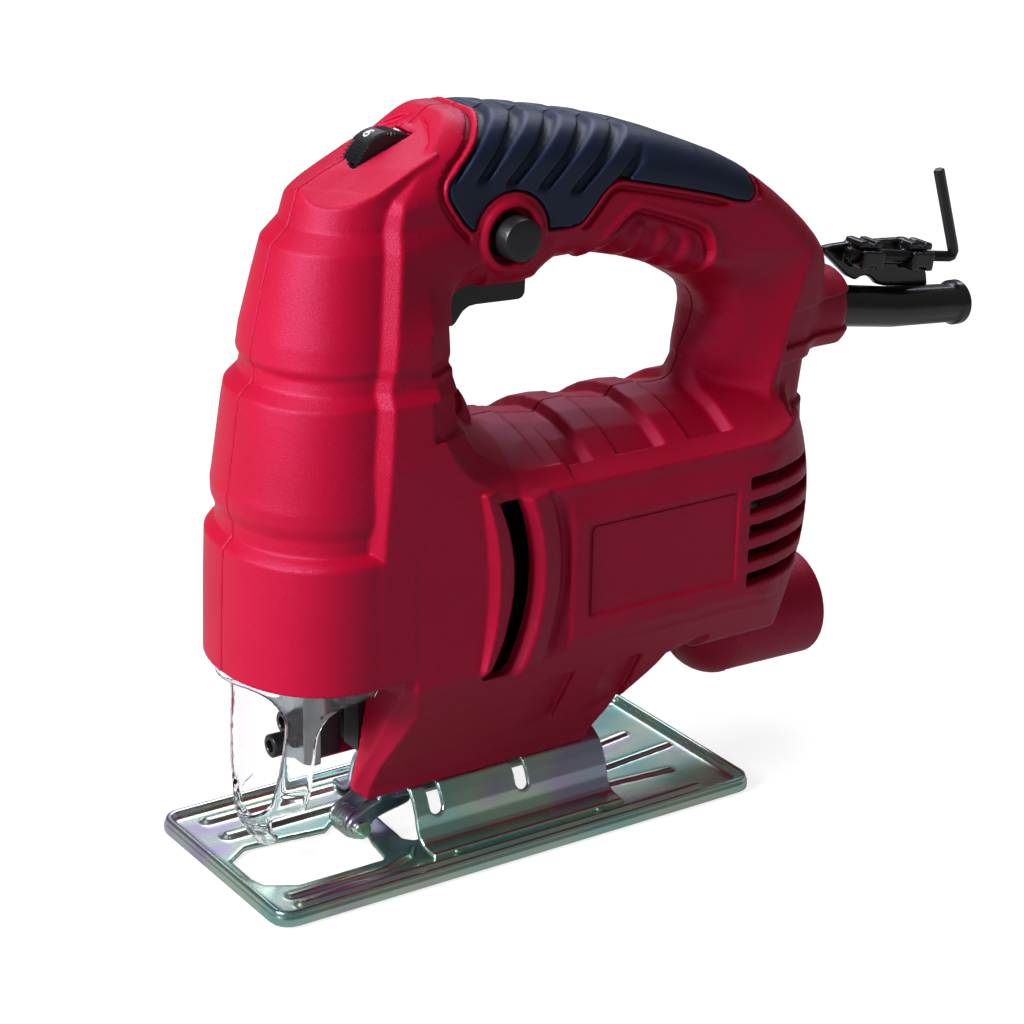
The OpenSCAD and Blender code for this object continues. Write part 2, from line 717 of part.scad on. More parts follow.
module bevel_nut() color("silver") in_row()
    translate([5, 0, 32]) difference() {
        cube([7, 7.8, 3.2], center = true);
        cylinder(r = 2, h = 6, center = true);
    }

module housing_screws() color([0.3, 0.3, 0.32]) in_row()
    screw_sites() difference() {
        union() {
            translate([0, 0, -screw_in]) cylinder(r = screw_r, h = screw_in + screw_head_y);
            translate([0, 0, screw_head_y]) cylinder(r = screw_head_r, h = 2.4);
        }
        for (a = [0, 90]) rotate(a) translate([0, 0, screw_head_y + 2]) cube([4, 0.8, 2.4], center = true);
    }

// ---------- cable end and key ----------

module cord_clamp() color([0.12, 0.12, 0.13]) in_row()
    translate([-84, 0, 134]) rotate([0, -8, 0]) cube([9, 17, 4], center = true);

module cord_guard() color([0.07, 0.07, 0.08]) in_row()
    translate(sleeve_pos) rotate([0, -90 - sleeve_tilt, 0]) difference() {
        union() {
            cylinder(r = sleeve_r, h = 20);
            translate([0, 0, 20]) cylinder(r1 = sleeve_r, r2 = sleeve_r - 0.5, h = sleeve_len - 22);
            translate([0, 0, sleeve_len - 3]) cylinder(r = sleeve_r + 0.5, h = 3);
        }
        translate([0, 0, -1]) cylinder(r = cable_r, h = sleeve_len + 2);
    }

// Side view of the key holder's plate
holder_side = [
    [-122, 140], [-126, 141.4], [-150, 138.8], [-153.6, 137.6], [-155, 134.8], [-158.4, 123.6],
    [-141.5, 125.6], [-136, 130], [-129, 134], [-122, 136]
];
module on_key(s) translate(key_pos) rotate([0, -90 - key_tilt, 0]) translate([0, 0, s]) children();

module key_holder() color([0.07, 0.07, 0.08]) in_row()
    difference() {
        union() {
            translate([0, -4, 0]) across(1.4) polygon(holder_side);
            for (s = [4, 22]) on_key(s) translate([-3.4, -5.6, -3.5]) cube([6.8, 9.4, 7]);
        }
        on_key(-10) cylinder(r = key_r + 0.15, h = 70);
        translate(sleeve_pos) rotate([0, -90 - sleeve_tilt, 0]) cylinder(r = sleeve_r + 0.02, h = 80);
        on_key(-10) translate([-0.9, 0, 0]) cube([1.8, 9, 70]);
    }

module hex_key() color([0.2, 0.2, 0.22]) in_row()
    on_key(0) union() {
        translate([0, 0, -3]) cylinder(r = key_r, h = key_len + 3, $fn = 6);
        translate([0, 0, key_len]) sphere(r = key_r + 0.15, $fn = 24);
        translate([0, 0, key_len]) rotate([key_lean, 0, 0]) rotate([0, 90, 0])
            cylinder(r = key_r, h = key_rise, $fn = 6);
    }

housing_left();
housing_right();
grip_left();
grip_right();
side_plates();
dust_port();
front_guard();
guard_baffle();
speed_dial();
speed_board();
switch_body();
trigger();
trigger_spring();
lock_button();
lock_spring();
field_stator();
field_coils();
armature_shaft();
armature_core();
commutator();
cooling_fan();
pinion();
front_bearing();
rear_bearing();
brush_holders();
carbon_brushes();
capacitor();
drive_gear();
crank_pin();
gear_axle();
bearing_plate();
plunger();
yoke();
upper_bush();
lower_bush();
blade_clamp();
clamp_screws();
roller_bracket();
roller_pin();
guide_roller();
shoe();
bevel_arch();
arch_rivets();
bevel_plate();
bevel_screw();
bevel_nut();
housing_screws();
cord_clamp();
cord_guard();
key_holder();
hex_key();
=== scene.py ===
import json
import math

import bpy
import numpy as np
from mathutils import Matrix, Vector


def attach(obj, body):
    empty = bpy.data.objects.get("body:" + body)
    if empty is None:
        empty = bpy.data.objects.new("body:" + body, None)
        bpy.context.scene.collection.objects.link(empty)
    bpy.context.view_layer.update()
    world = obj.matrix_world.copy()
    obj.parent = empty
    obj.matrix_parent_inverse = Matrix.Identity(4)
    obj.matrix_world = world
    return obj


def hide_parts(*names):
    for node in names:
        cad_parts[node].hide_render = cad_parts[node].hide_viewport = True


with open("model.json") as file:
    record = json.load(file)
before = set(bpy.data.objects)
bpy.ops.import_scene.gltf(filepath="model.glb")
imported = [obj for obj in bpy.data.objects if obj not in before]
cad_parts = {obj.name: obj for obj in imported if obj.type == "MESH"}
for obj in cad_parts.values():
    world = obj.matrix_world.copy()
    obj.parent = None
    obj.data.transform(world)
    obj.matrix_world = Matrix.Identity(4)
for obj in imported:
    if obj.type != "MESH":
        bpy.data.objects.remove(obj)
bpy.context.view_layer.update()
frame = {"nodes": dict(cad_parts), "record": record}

# Lengths are in millimetres, from the middle of the shoe's underside, as in the part's source.
ROW_X = 47.5
MM = 0.001
GRID = 0.56


def row(p):
    """A point of this script as a point of the row frame, in metres."""
    return ((p[0] + ROW_X) * MM, p[1] * MM, p[2] * MM)


# ---------------------------------------------------------------- node-tree helpers


def new_material(name):
    mat = bpy.data.materials.new(name)
    mat.use_nodes = True
    tree = mat.node_tree
    shader = tree.nodes["Principled BSDF"]
    return mat, tree, shader


def add(tree, kind, inputs=None, **settings):
    """A node with its settings and input values or links."""
    node = tree.nodes.new(kind)
    for key, value in settings.items():
        setattr(node, key, value)
    for key, value in (inputs or {}).items():
        if isinstance(value, bpy.types.NodeSocket):
            tree.links.new(value, node.inputs[key])
        else:
            node.inputs[key].default_value = value
    return node


def noise(tree, scale, detail=3.0, stretch=None):
    coords = add(tree, "ShaderNodeTexCoord").outputs["Object"]
    if stretch:
        coords = add(tree, "ShaderNodeMapping", {"Vector": coords, "Scale": stretch}).outputs[0]
    return add(tree, "ShaderNodeTexNoise", {"Vector": coords, "Scale": scale, "Detail": detail}).outputs["Fac"]


def ramp(tree, fac, stops):
    node = add(tree, "ShaderNodeValToRGB", {"Fac": fac})
    cr = node.color_ramp
    while len(cr.elements) < len(stops):
        cr.elements.new(0.5)
    for element, (pos, col) in zip(cr.elements, stops):
        element.position = pos
        element.color = (*col, 1.0)
    return node.outputs["Color"]


def bump(tree, height, strength, distance, normal=None):
    inputs = {"Height": height, "Strength": strength, "Distance": distance}
    if normal:
        inputs["Normal"] = normal
    return add(tree, "ShaderNodeBump", inputs).outputs["Normal"]


def textured_plastic(name, dark, light, rough, grain, strength, sheen=0.0, tint=(1, 1, 1), shine=0.5):
    """Moulded plastic with a spark-eroded grain and slight colour variation."""
    mat, tree, shader = new_material(name)
    spots = noise(tree, grain, 2.0)
    cloud = noise(tree, 38.0, 4.0)
    tree.links.new(ramp(tree, cloud, [(0.3, dark), (0.7, light)]), shader.inputs["Base Color"])
    tree.links.new(bump(tree, spots, strength, 0.00025), shader.inputs["Normal"])
    rough_map = add(tree, "ShaderNodeMapRange", {"Value": spots, "To Min": rough - 0.07, "To Max": rough + 0.07})
    tree.links.new(rough_map.outputs[0], shader.inputs["Roughness"])
    shader.inputs["Specular Tint"].default_value = (*tint, 1.0)
    shader.inputs["Specular IOR Level"].default_value = shine
    shader.inputs["Sheen Weight"].default_value = sheen
    return mat


def brushed_metal(name, stops, rough, scale=30.0, stretch=None, grain=900.0, strength=0.12):
    """Metal with a colour cast that drifts over the surface and a fine brushed grain."""
    mat, tree, shader = new_material(name)
    drift = noise(tree, scale, 2.5, stretch)
    tree.links.new(ramp(tree, drift, stops), shader.inputs["Base Color"])
    fine = noise(tree, grain, 2.0, (1.0, 0.06, 0.06))
    tree.links.new(bump(tree, fine, strength, 0.0001), shader.inputs["Normal"])
    rough_map = add(tree, "ShaderNodeMapRange", {"Value": drift, "To Min": rough - 0.05, "To Max": rough + 0.08})
    tree.links.new(rough_map.outputs[0], shader.inputs["Roughness"])
    shader.inputs["Metallic"].default_value = 1.0
    return mat


def plain_gloss(name, colour, rough, metallic=0.0, coat=0.0):
    mat, tree, shader = new_material(name)
    smudge = noise(tree, 60.0, 4.0)
    rough_map = add(tree, "ShaderNodeMapRange", {"Value": smudge, "To Min": rough - 0.04, "To Max": rough + 0.08})
    tree.links.new(rough_map.outputs[0], shader.inputs["Roughness"])
    shader.inputs["Base Color"].default_value = (*colour, 1.0)
    shader.inputs["Metallic"].default_value = metallic
    shader.inputs["Coat Weight"].default_value = coat
    return mat


def clear_plastic():
    mat, tree, shader = new_material("clear_plastic")
    shader.inputs["Base Color"].default_value = (0.88, 0.87, 0.90, 1.0)
    shader.inputs["Transmission Weight"].default_value = 1.0
    shader.inputs["IOR"].default_value = 1.42
    tree.links.new(
        add(tree, "ShaderNodeMapRange", {"Value": noise(tree, 45.0), "To Min": 0.02, "To Max": 0.06}).outputs[0],
        shader.inputs["Roughness"],
    )
    return mat


MATERIAL = {
    "red_plastic": textured_plastic("red_plastic", (0.44, 0.0008, 0.022), (0.50, 0.001, 0.030), 0.40, 4200.0, 0.5, tint=(1.0, 0.5, 1.0),
                                    shine=0.42),
    "soft_grip": textured_plastic("soft_grip", (0.004, 0.010, 0.036), (0.008, 0.015, 0.048), 0.46, 3000.0, 0.4, tint=(0.8, 0.9, 1.0)),
    "black_plastic": textured_plastic("black_plastic", (0.010, 0.011, 0.013), (0.014, 0.016, 0.018), 0.38, 2500.0, 0.25),
    "black_pvc": plain_gloss("black_pvc", (0.008, 0.008, 0.010), 0.20, coat=0.3),
    "clear_plastic": clear_plastic(),
    "zinc_steel": brushed_metal(
        "zinc_steel",
        [(0.2, (0.26, 0.54, 0.58)), (0.40, (0.42, 0.72, 0.64)), (0.52, (0.58, 0.73, 0.58)), (0.64, (0.52, 0.47, 0.66)),
         (0.85, (0.29, 0.60, 0.56))], 0.25, 22.0, (1.0, 2.6, 1.5)),
    "machined_steel": brushed_metal("machined_steel", [(0.3, (0.26, 0.30, 0.29)), (0.7, (0.46, 0.51, 0.50))], 0.26, 120.0),
    "cast_steel": brushed_metal("cast_steel", [(0.3, (0.30, 0.33, 0.34)), (0.7, (0.46, 0.48, 0.49))], 0.36, 90.0),
    "black_steel": plain_gloss("black_steel", (0.035, 0.035, 0.038), 0.32, metallic=0.8),
    "lamination": brushed_metal("lamination", [(0.3, (0.24, 0.25, 0.26)), (0.7, (0.34, 0.35, 0.36))], 0.45),
    "copper": brushed_metal("copper", [(0.3, (0.62, 0.26, 0.12)), (0.7, (0.75, 0.36, 0.18))], 0.3),
    "bronze": brushed_metal("bronze", [(0.3, (0.48, 0.34, 0.14)), (0.7, (0.60, 0.44, 0.2))], 0.38),
    "carbon": plain_gloss("carbon", (0.03, 0.03, 0.03), 0.6),
    "aluminium_plate": brushed_metal("aluminium_plate", [(0.3, (0.58, 0.59, 0.6)), (0.7, (0.68, 0.69, 0.7))], 0.42),
    "circuit_board": plain_gloss("circuit_board", (0.01, 0.12, 0.04), 0.35),
    "capacitor_case": plain_gloss("capacitor_case", (0.45, 0.28, 0.02), 0.3),
    "white_print": plain_gloss("white_print", (0.85, 0.85, 0.83), 0.5),
}

# ---------------------------------------------------------------- mesh helpers


def make_piece(name, verts, faces, slot, body, smooth=True, material=None):
    """A mesh piece from millimetre points, riding on a body."""
    mesh = bpy.data.meshes.new(name)
    pts = (np.asarray(verts, float) + (ROW_X, 0.0, 0.0)) * MM
    mesh.from_pydata(pts.tolist(), [], [list(map(int, f)) for f in faces] if not isinstance(faces, np.ndarray) else faces.tolist())
    mesh.update()
    mesh.validate()
    if smooth:
        mesh.polygons.foreach_set("use_smooth", np.ones(len(mesh.polygons), bool))
    mesh.materials.append(material or MATERIAL[slot])
    obj = bpy.data.objects.new(name, mesh)
    bpy.context.scene.collection.objects.link(obj)
    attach(obj, body)
    return obj


def sharpen(obj, degrees=38.0, bevel=0.0, segments=2):
    """Keeps flat faces flat: bevels the sharp edges and shades by angle."""
    if bevel:
        mod = obj.modifiers.new("edges", "BEVEL")
        mod.width = bevel * MM
        mod.segments = segments
        mod.limit_method = "ANGLE"
        mod.angle_limit = math.radians(degrees)
        mod.harden_normals = False
        mod.use_clamp_overlap = True
    mesh = obj.data
    mesh.polygons.foreach_set("use_smooth", np.ones(len(mesh.polygons), bool))
    mod = obj.modifiers.new("flats", "WEIGHTED_NORMAL")
    mod.keep_sharp = True
    mesh.set_sharp_from_angle(angle=math.radians(degrees)) if not bevel else None
    return obj


def surface_net(field, xs, ys, zs):
    """Vertices and outward quads of the surface where field is 0; field is negative inside."""
    inside = field < 0
    count = np.zeros(tuple(n - 1 for n in field.shape), np.uint8)
    corners = [(a, b, c) for a in (0, 1) for b in (0, 1) for c in (0, 1)]
    n0, n1, n2 = count.shape
    for a, b, c in corners:
        count += inside[a:a + n0, b:b + n1, c:c + n2]
    cells = np.argwhere((count > 0) & (count < 8))
    index = np.full(count.shape, -1, np.int32)
    index[tuple(cells.T)] = np.arange(len(cells))
    total = np.zeros((len(cells), 3))
    hits = np.zeros(len(cells))
    for p in corners:
        for axis in range(3):
            if p[axis]:
                continue
            q = list(p)
            q[axis] = 1
            fp = field[tuple((cells + p).T)]
            fq = field[tuple((cells + q).T)]
            cut = (fp < 0) != (fq < 0)
            t = np.where(cut, fp / np.where(cut, fp - fq, 1.0), 0.0)
            at = np.repeat(np.array(p, float)[None], len(cells), 0)
            at[:, axis] = t
            total += at * cut[:, None]
            hits += cut
    verts = cells + total / hits[:, None]
    verts = np.stack([np.interp(verts[:, k], np.arange(len(g)), g) for k, g in enumerate((xs, ys, zs))], 1)
    quads = []
    for axis in range(3):
        lo = [slice(1, -1)] * 3
        hi = [slice(1, -1)] * 3
        lo[axis], hi[axis] = slice(0, -1), slice(1, None)
        a, b = inside[tuple(lo)], inside[tuple(hi)]
        edges = np.argwhere(a != b)
        off = np.ones(3, int)
        off[axis] = 0
        edges = edges + off
        leaving = inside[tuple(edges.T)]
        u, v = (axis + 1) % 3, (axis + 2) % 3
        ring = []
        for du, dv in ((0, 0), (1, 0), (1, 1), (0, 1)):
            c = edges.copy()
            c[:, u] -= du
            c[:, v] -= dv
            ring.append(index[tuple(c.T)])
        ring = np.stack(ring, 1)
        ring[~leaving] = ring[~leaving][:, ::-1]
        quads.append(ring)
    return verts, np.concatenate(quads)


def near(points, x, z):
    """Signed distance to a closed outline over a plane grid, negative inside."""
    best = np.full(np.broadcast(x, z).shape, 1e9)
    inside = np.zeros(best.shape, bool)
    for (ax, az), (bx, bz) in zip(points, np.roll(points, -1, 0)):
        ex, ez = bx - ax, bz - az
        t = np.clip(((x - ax) * ex + (z - az) * ez) / max(ex * ex + ez * ez, 1e-9), 0, 1)
        best = np.minimum(best, (x - ax - t * ex) ** 2 + (z - az - t * ez) ** 2)
        if az != bz:
            inside ^= ((az > z) != (bz > z)) & (x < ex * (z - az) / ez + ax)
    return np.where(inside, -1, 1) * np.sqrt(best)


def along(points, x, z):
    """Distance to an open line over a plane grid."""
    best = np.full(np.broadcast(x, z).shape, 1e9)
    for (ax, az), (bx, bz) in zip(points[:-1], points[1:]):
        ex, ez = bx - ax, bz - az
        t = np.clip(((x - ax) * ex + (z - az) * ez) / (ex * ex + ez * ez), 0, 1)
        best = np.minimum(best, (x - ax - t * ex) ** 2 + (z - az - t * ez) ** 2)
    return np.sqrt(best)


def softened(points, times=2):
    """The outline with its corners cut, so that it reads as a curve."""
    pts = np.asarray(points, float)
    for _ in range(times):
        nxt = np.roll(pts, -1, 0)
        pts = np.stack([0.75 * pts + 0.25 * nxt, 0.25 * pts + 0.75 * nxt], 1).reshape(-1, 2)
    return pts


def step_to(x, a, b):
    """0 below a, 1 above b, smooth between."""
    t = np.clip((x - a) / (b - a), 0, 1)
    return t * t * (3 - 2 * t)


def join(a, b, k):
    """Union with a fillet of about k."""
    h = np.maximum(k - np.abs(a - b), 0) / k
    return np.minimum(a, b) - h * h * k / 4


def cut(a, b, k=0.0):
    """a where b isn't, with a rounded edge of about k."""
    return both(a, -b, k)


def both(a, b, k=0.0):
    if not k:
        return np.maximum(a, b)
    h = np.maximum(k - np.abs(a - b), 0) / k
    return np.maximum(a, b) + h * h * k / 4


def rounded_both(a, b, r):
    """Intersection whose edge is an arc of radius r."""
    return np.minimum(np.maximum(a, b) + r, 0) + np.hypot(np.maximum(a + r, 0), np.maximum(b + r, 0)) - r


def chamfered(a, b, c):
    return np.maximum(np.maximum(a, b), (a + b + c) * 0.7071)


# ---------------------------------------------------------------- casing outlines

CASING_SIDE = [
    (73, 58.6), (72.7, 75), (72, 91), (69.9, 93.6), (69.9, 97.6), (70.6, 104), (69, 118), (67, 129), (66.5, 131),
    (63.4, 133.6), (63.2, 140), (60.8, 154), (57.6, 166.7), (53.6, 171.2), (50.2, 180.2),
    (36, 185), (27, 188.9), (19.5, 192.8), (14.5, 195.6), (11, 196.3), (0, 195.2), (-20, 191.6), (-42, 186.6),
    (-65, 178.6), (-79, 171.2), (-91, 162.3), (-101, 153), (-107, 145), (-109, 138), (-108.4, 130),
    (-105.4, 118), (-104, 100), (-104.6, 85), (-106, 64), (-105, 50), (-99, 42.5), (-90, 40.5),
    (-47, 40.5), (-38, 28.5), (-30, 17.2), (42.2, 17.2), (38.4, 31), (36, 45), (36, 58.6),
]
HANDLE_HOLE = [
    (11, 152.6), (13.8, 149.5), (14.6, 146), (14.2, 133), (12.2, 128.5), (5.5, 119), (3.5, 115), (0, 113), (-8, 111.8),
    (-25, 112), (-54, 112), (-65, 115), (-72.5, 129), (-71.5, 136), (-64, 141.8), (-50.7, 148.7),
    (-35.2, 153.8), (-17.7, 156.4), (-13, 154), (-9.4, 150.8), (4, 151.6),
]
MOTOR_SECTION = [
    (0, 40.5), (19.5, 40.5), (26.2, 45), (30.4, 54.5), (30.4, 98), (30.4, 101), (25.1, 104.3),
    (23.6, 105.3), (21, 107), (16, 109.8), (8, 112.4), (0, 113.2), (-8, 112.4), (-30, 100), (-30, 45), (-19.5, 40.5),
]
FOOT_WIDTH = ([15, 21.5, 28, 38, 45, 54.5, 62], [13.9, 14.0, 16.4, 22.4, 26.2, 30.4, 30.4])
NOSE_FRONT = (
    [50, 77.7, 90.9, 93.6, 97.6, 101, 104.5, 107, 126, 130, 133.2, 136.6, 138.9, 144.3, 157.9, 166.4, 171, 180.4, 198],
    [73.2, 72.5, 71.9, 69.2, 69.1, 70.4, 70.6, 70.1, 67.5, 66.8, 63.0, 62.3, 63.5, 62.8, 59.6, 57.4, 52.6, 49.8, 45],
)
NOSE_WIDTH = (
    [50, 77.7, 90.9, 93.6, 97.6, 101, 104.5, 107, 126, 130, 133.2, 136.6, 138.9, 144.3, 157.9, 166.4, 171, 180.4, 198],
    [31.8, 31.0, 30.5, 28.6, 28.5, 29.3, 29.3, 29.1, 27.5, 27.1, 24.9, 24.5, 25.3, 24.8, 22.2, 20.6, 18.2, 17.4, 16.6],
)
RAIL_X = ([50, 92, 99, 115, 133, 152, 167, 178, 198], [42.6, 42.6, 42.1, 40.6, 38.6, 35.6, 33.2, 30.6, 26])
RAIL_TOP = 209.5
SIDE_SHEET = [
    (60, 40), (60, 190), (26.8, 190), (26.6, 150), (26.3, 122.8), (25.3, 118.8), (21.8, 112.6), (17.4, 107.9), (11.7, 104.6),
    (3.4, 101.8), (-6.3, 101), (-60, 101), (-60, 40),
]
RAIL_W = 4.0
GRIP_OUTLINE = [
    (3.4, 203), (3.6, 195.8), (6.3, 193.2), (11, 187.6), (17.4, 181.7), (18.8, 179.4), (18.4, 176.6), (12.4, 168.2), (9, 167.4), (-10, 165.2), (-20.5, 164.6),
    (-23.4, 166.6), (-29.5, 173.6), (-32.8, 175), (-36, 174.6), (-62.5, 167.8), (-74, 163.8), (-77.6, 164.6), (-78.4, 168), (-76, 176), (-60, 190),
    (-30, 200), (0, 206),
]
FINGER_PANEL = [
    (-23.5, 153), (-27.6, 157.4), (-32.7, 162.4), (-38.5, 167), (-42, 166.6), (-60, 159.8), (-63.6, 156.6), (-64.6, 150),
    (-60.5, 143), (-48, 144), (-32, 149),
]
LOCK = (-0.5, 165.3)
DIAL = (26.0, 181.2)
DIAL_R = 10.5
VENT_CENTRE, VENT_R = (49.8, 79.5), 51.4
SLEEVE_AT, SLEEVE_TILT = np.array([-106.0, 0.0, 126.0]), math.radians(8)
SCREWS = [(-97, 56), (-97, 93), (-19.5, 47), (27, 53), (40, 158), (24, 140), (-55, 165.5), (-93, 141)]
WALL = 2.6


def span(table, at):
    return np.interp(at, table[0], table[1])


def grip_phase(x, y, z):
    """How far along the grip's row of ribs a point lies; each rib slants forward down the side."""
    top = np.interp(x, [-80, -42, -20, 0, 20], [171, 186.6, 191.6, 195.2, 195])
    return x - 0.31 * y - 0.89 * np.maximum(top - z, 0)


class Casing:
    """The distance field of one half of the casing, on a grid that starts just past the parting plane."""

    def __init__(self, side):
        self.side = side
        self.xs = np.arange(-124.0, 76.0, GRID)
        self.ys = np.arange(-1.5 * GRID, 36.0, GRID)
        self.zs = np.arange(13.0, 199.0, GRID)
        self.x, self.z = self.xs[:, None], self.zs[None, :]
        self.X = self.xs[:, None, None].astype(np.float32)
        self.Y = self.ys[None, :, None].astype(np.float32)
        self.Z = self.zs[None, None, :].astype(np.float32)

    def flat(self, a):
        """A map over x and z, ready to meet the 3-D grid."""
        return np.asarray(a, np.float32)[:, None, :]

    def body(self):
        x, z, X, Y, Z = self.x, self.z, self.X, self.Y, self.Z
        side = near(softened(CASING_SIDE, 1), x, z)
        hole = near(softened(HANDLE_HOLE, 1), x, z)
        profile = np.maximum(side, -hole)

        # handle, column and rear leg
        ridge = -93.8 + (134 - z) * 0.33
        crease = -71.0 - 12.5 * np.clip((139 - z) / 39, 0, 1) ** 1.4
        facet = np.clip((x - ridge) / np.maximum(crease - ridge, 1), 0, 1.6) * step_to(-z, -150, -138)
        width = 18 - 6.5 * facet - 0.22 * np.maximum(ridge - x, 0) * step_to(-z, -150, -138)
        col_side = np.minimum(span(NOSE_WIDTH, z) + 1.9, 30.4)
        sheet = np.maximum(near(SIDE_SHEET, x, z), 0)
        band = np.interp(z, [101, 106, 112, 122], [3.4, 4.4, 6.2, 7.8])
        column = col_side - 5 * np.minimum(sheet / band, 1) - 2.5 * np.maximum(sheet - band, 0)
        head = 18 + (col_side - 18) * np.clip((x - 6) / (span(RAIL_X, z) - 6), 0, 1)
        high = step_to(z, 144, 160) + 0 * x
        column = column * (1 - high) + head * high
        width = np.where(x > 6, np.maximum(column, 12.5 + 5.5 * high), width)
        low_front = (x > -14) & (x <= 6) & (z < 122)
        width = np.where(low_front, np.maximum(column, 9), width)
        upper = np.maximum(self.flat(profile), 88 - Z)
        top_r = np.interp(x, [-100, -60, -40, 0, 12], [7, 9, 11, 12.5, 13.5]) + 0 * z
        low_r = np.interp(x, [-100, -40, 5, 20], [7, 9, 7, 4]) + 0 * z
        round_r = low_r + (top_r - low_r) * step_to(z, 166, 180)
        handle = rounded_both(upper, Y - self.flat(width), self.flat(round_r))
        chamfer = chamfered(upper, Y - self.flat(width), 1.6)
        blend = self.flat(step_to(x, 3, 9) * (1 - high))
        handle = handle * (1 - blend) + chamfer * blend
        rail = np.maximum(X - span(RAIL_X, self.zs)[None, None, :] - RAIL_W, (X + Z - RAIL_TOP - RAIL_W) * 0.7071)
        handle = chamfered(handle, rail, 3.2)

        # motor body, bowed at its rear corners
        section = near(MOTOR_SECTION, self.ys[:, None], self.zs[None, :]).astype(np.float32)[None]
        reach = 35 - 5 * ((self.zs - 79) / 23)[None, None, :] ** 2
        rear = np.maximum(-X - 70, 0) / np.maximum(reach, 18)
        bow = (rear ** 2.3 + (np.abs(Y) / 30.6) ** 2.6) ** (1 / 2.4) - 1
        motor = both(section, np.where(X < -70, bow, -0.5) * 24, 0.6)
        low_side = near(CASING_SIDE, x, z)
        motor = both(motor, self.flat(low_side), 1.5)
        motor = np.maximum(motor, X - 30)

        # nose: a bow front over steps
        front = span(NOSE_FRONT, self.zs)[None, None, :]
        half = np.minimum(span(NOSE_WIDTH, self.zs) - 1.2 * step_to(self.zs, 92, 94), 30.4)[None, None, :]
        ridge_x = span(RAIL_X, self.zs)[None, None, :] + RAIL_W
        u = np.maximum(X - ridge_x, 0) / (front - ridge_x)
        nose = ((u ** 2.15 + (np.abs(Y) / half) ** 2.15) ** (1 / 2.15) - 1) * 24
        nose = np.maximum(nose, ridge_x - 12.5 - X)
        nose = np.maximum(nose, 57.6 - Z)
        crease = np.interp(self.ys, [0, 1.2, 5.5, 10.3, 13.9, 18], [42.5, 42, 36.5, 31.5, 28.3, 25])[None, :, None]
        cap = 183.3 + 0.12 * Y + 0.40 * np.maximum(crease - X, 0) - 0.48 * np.maximum(X - crease, 0)
        nose = both(nose, (Z - cap) * 0.92, 0.3)
        on_slope = (X - Z + 213.5) / 2
        rim = np.interp(on_slope, [16, 17.4, 18.9, 21.2, 24.2, 27.6, 30, 36], [-8, 0, 6.2, 10.5, 13.5, 14.6, 16.2, 22])
        pocket = np.maximum((Y - rim) * 0.6, (cap - Z) * 0.92)
        pocket = np.maximum(pocket, 180 - Z)

        # lower sides and foot
        half = np.interp(self.zs, *FOOT_WIDTH)[None, None, :]
        foot_side = near([(42.2, 17.2), (38.4, 31), (36, 45), (36, 66), (-60, 66), (-47, 40.5), (-38, 28.5), (-30, 17.2)], x, z)
        foot_front = np.interp(self.zs, [17.2, 31, 45, 66], [42.2, 38.4, 36, 36])[None, None, :]
        edge = np.interp(self.zs, [18, 30, 45, 58], [3.3, 3.1, 4.8, 2.0])[None, None, :]
        foot = chamfered(self.flat(foot_side), (Y - half) * 0.9, 0.6)
        foot = np.maximum(foot, (X - foot_front + (Y - half) * 0.9 + edge) * 0.7071)
        edge = edge * step_to(X, 14, 30)
        lower = self.flat(near([(46, 58.6), (36, 58), (36, 45), (10, 41), (10, 93.5), (46, 93.5)], x, z))
        lower = chamfered(lower, (Y - half) * 0.9, edge)

        all_parts = join(motor, handle, 0.2 + 2.8 * step_to(-X, 14, 30))
        all_parts = join(all_parts, foot, 0.2)
        all_parts = np.minimum(all_parts, lower)
        return both(join(all_parts, nose, 0.3), -pocket, 0.3)

    def details(self, f):
        x, z, X, Y, Z = self.x, self.z, self.X, self.Y, self.Z
        # recesses across the hump, deeper towards the back, and three on the lower side
        for a, b in ((-20.7, -8), (-44, -30.5), (-66.3, -53.7)):
            slope = (b - x) / (b - a)
            floor = self.flat((0.6 + 2.0 * slope) + 0 * z)
            carve = np.maximum(np.maximum((a - X) * 0.8 - 0.6 * (f + floor), X - b), np.maximum(101.5 - Z, Z - 119))
            carve = np.maximum(carve, (Y - 24.6) * 0.7)
            f = both(f, -both(carve, -(f + floor), 0.35), 0.35)
        for a in (-61.5, -39.4, -17.5):
            notch = np.maximum(np.maximum(a - X, X - a - 11), np.maximum(Z - 49.8, np.maximum(Y - 27, 16 - Y)))
            f = np.maximum(f, -np.maximum(notch, -(f + 0.1 + (a + 11 - X) * 0.17)))
        # raised panel round the type plate, and the plate's own recess
        slopes = np.minimum(np.minimum((-11.8 - x) / 1.2, (97.6 - z) / 6.4), (z - 55.4) / 3.2)
        slopes = np.minimum(slopes, (x + 84) / 14)
        rise = 1.2 * np.clip(slopes, 0, 1)
        plate = np.maximum(np.abs(x + 42.0) - 24.2, np.abs(z - 76.6) - 12.6)
        rise = rise - 0.8 * step_to(-plate, -0.2, 0.2)
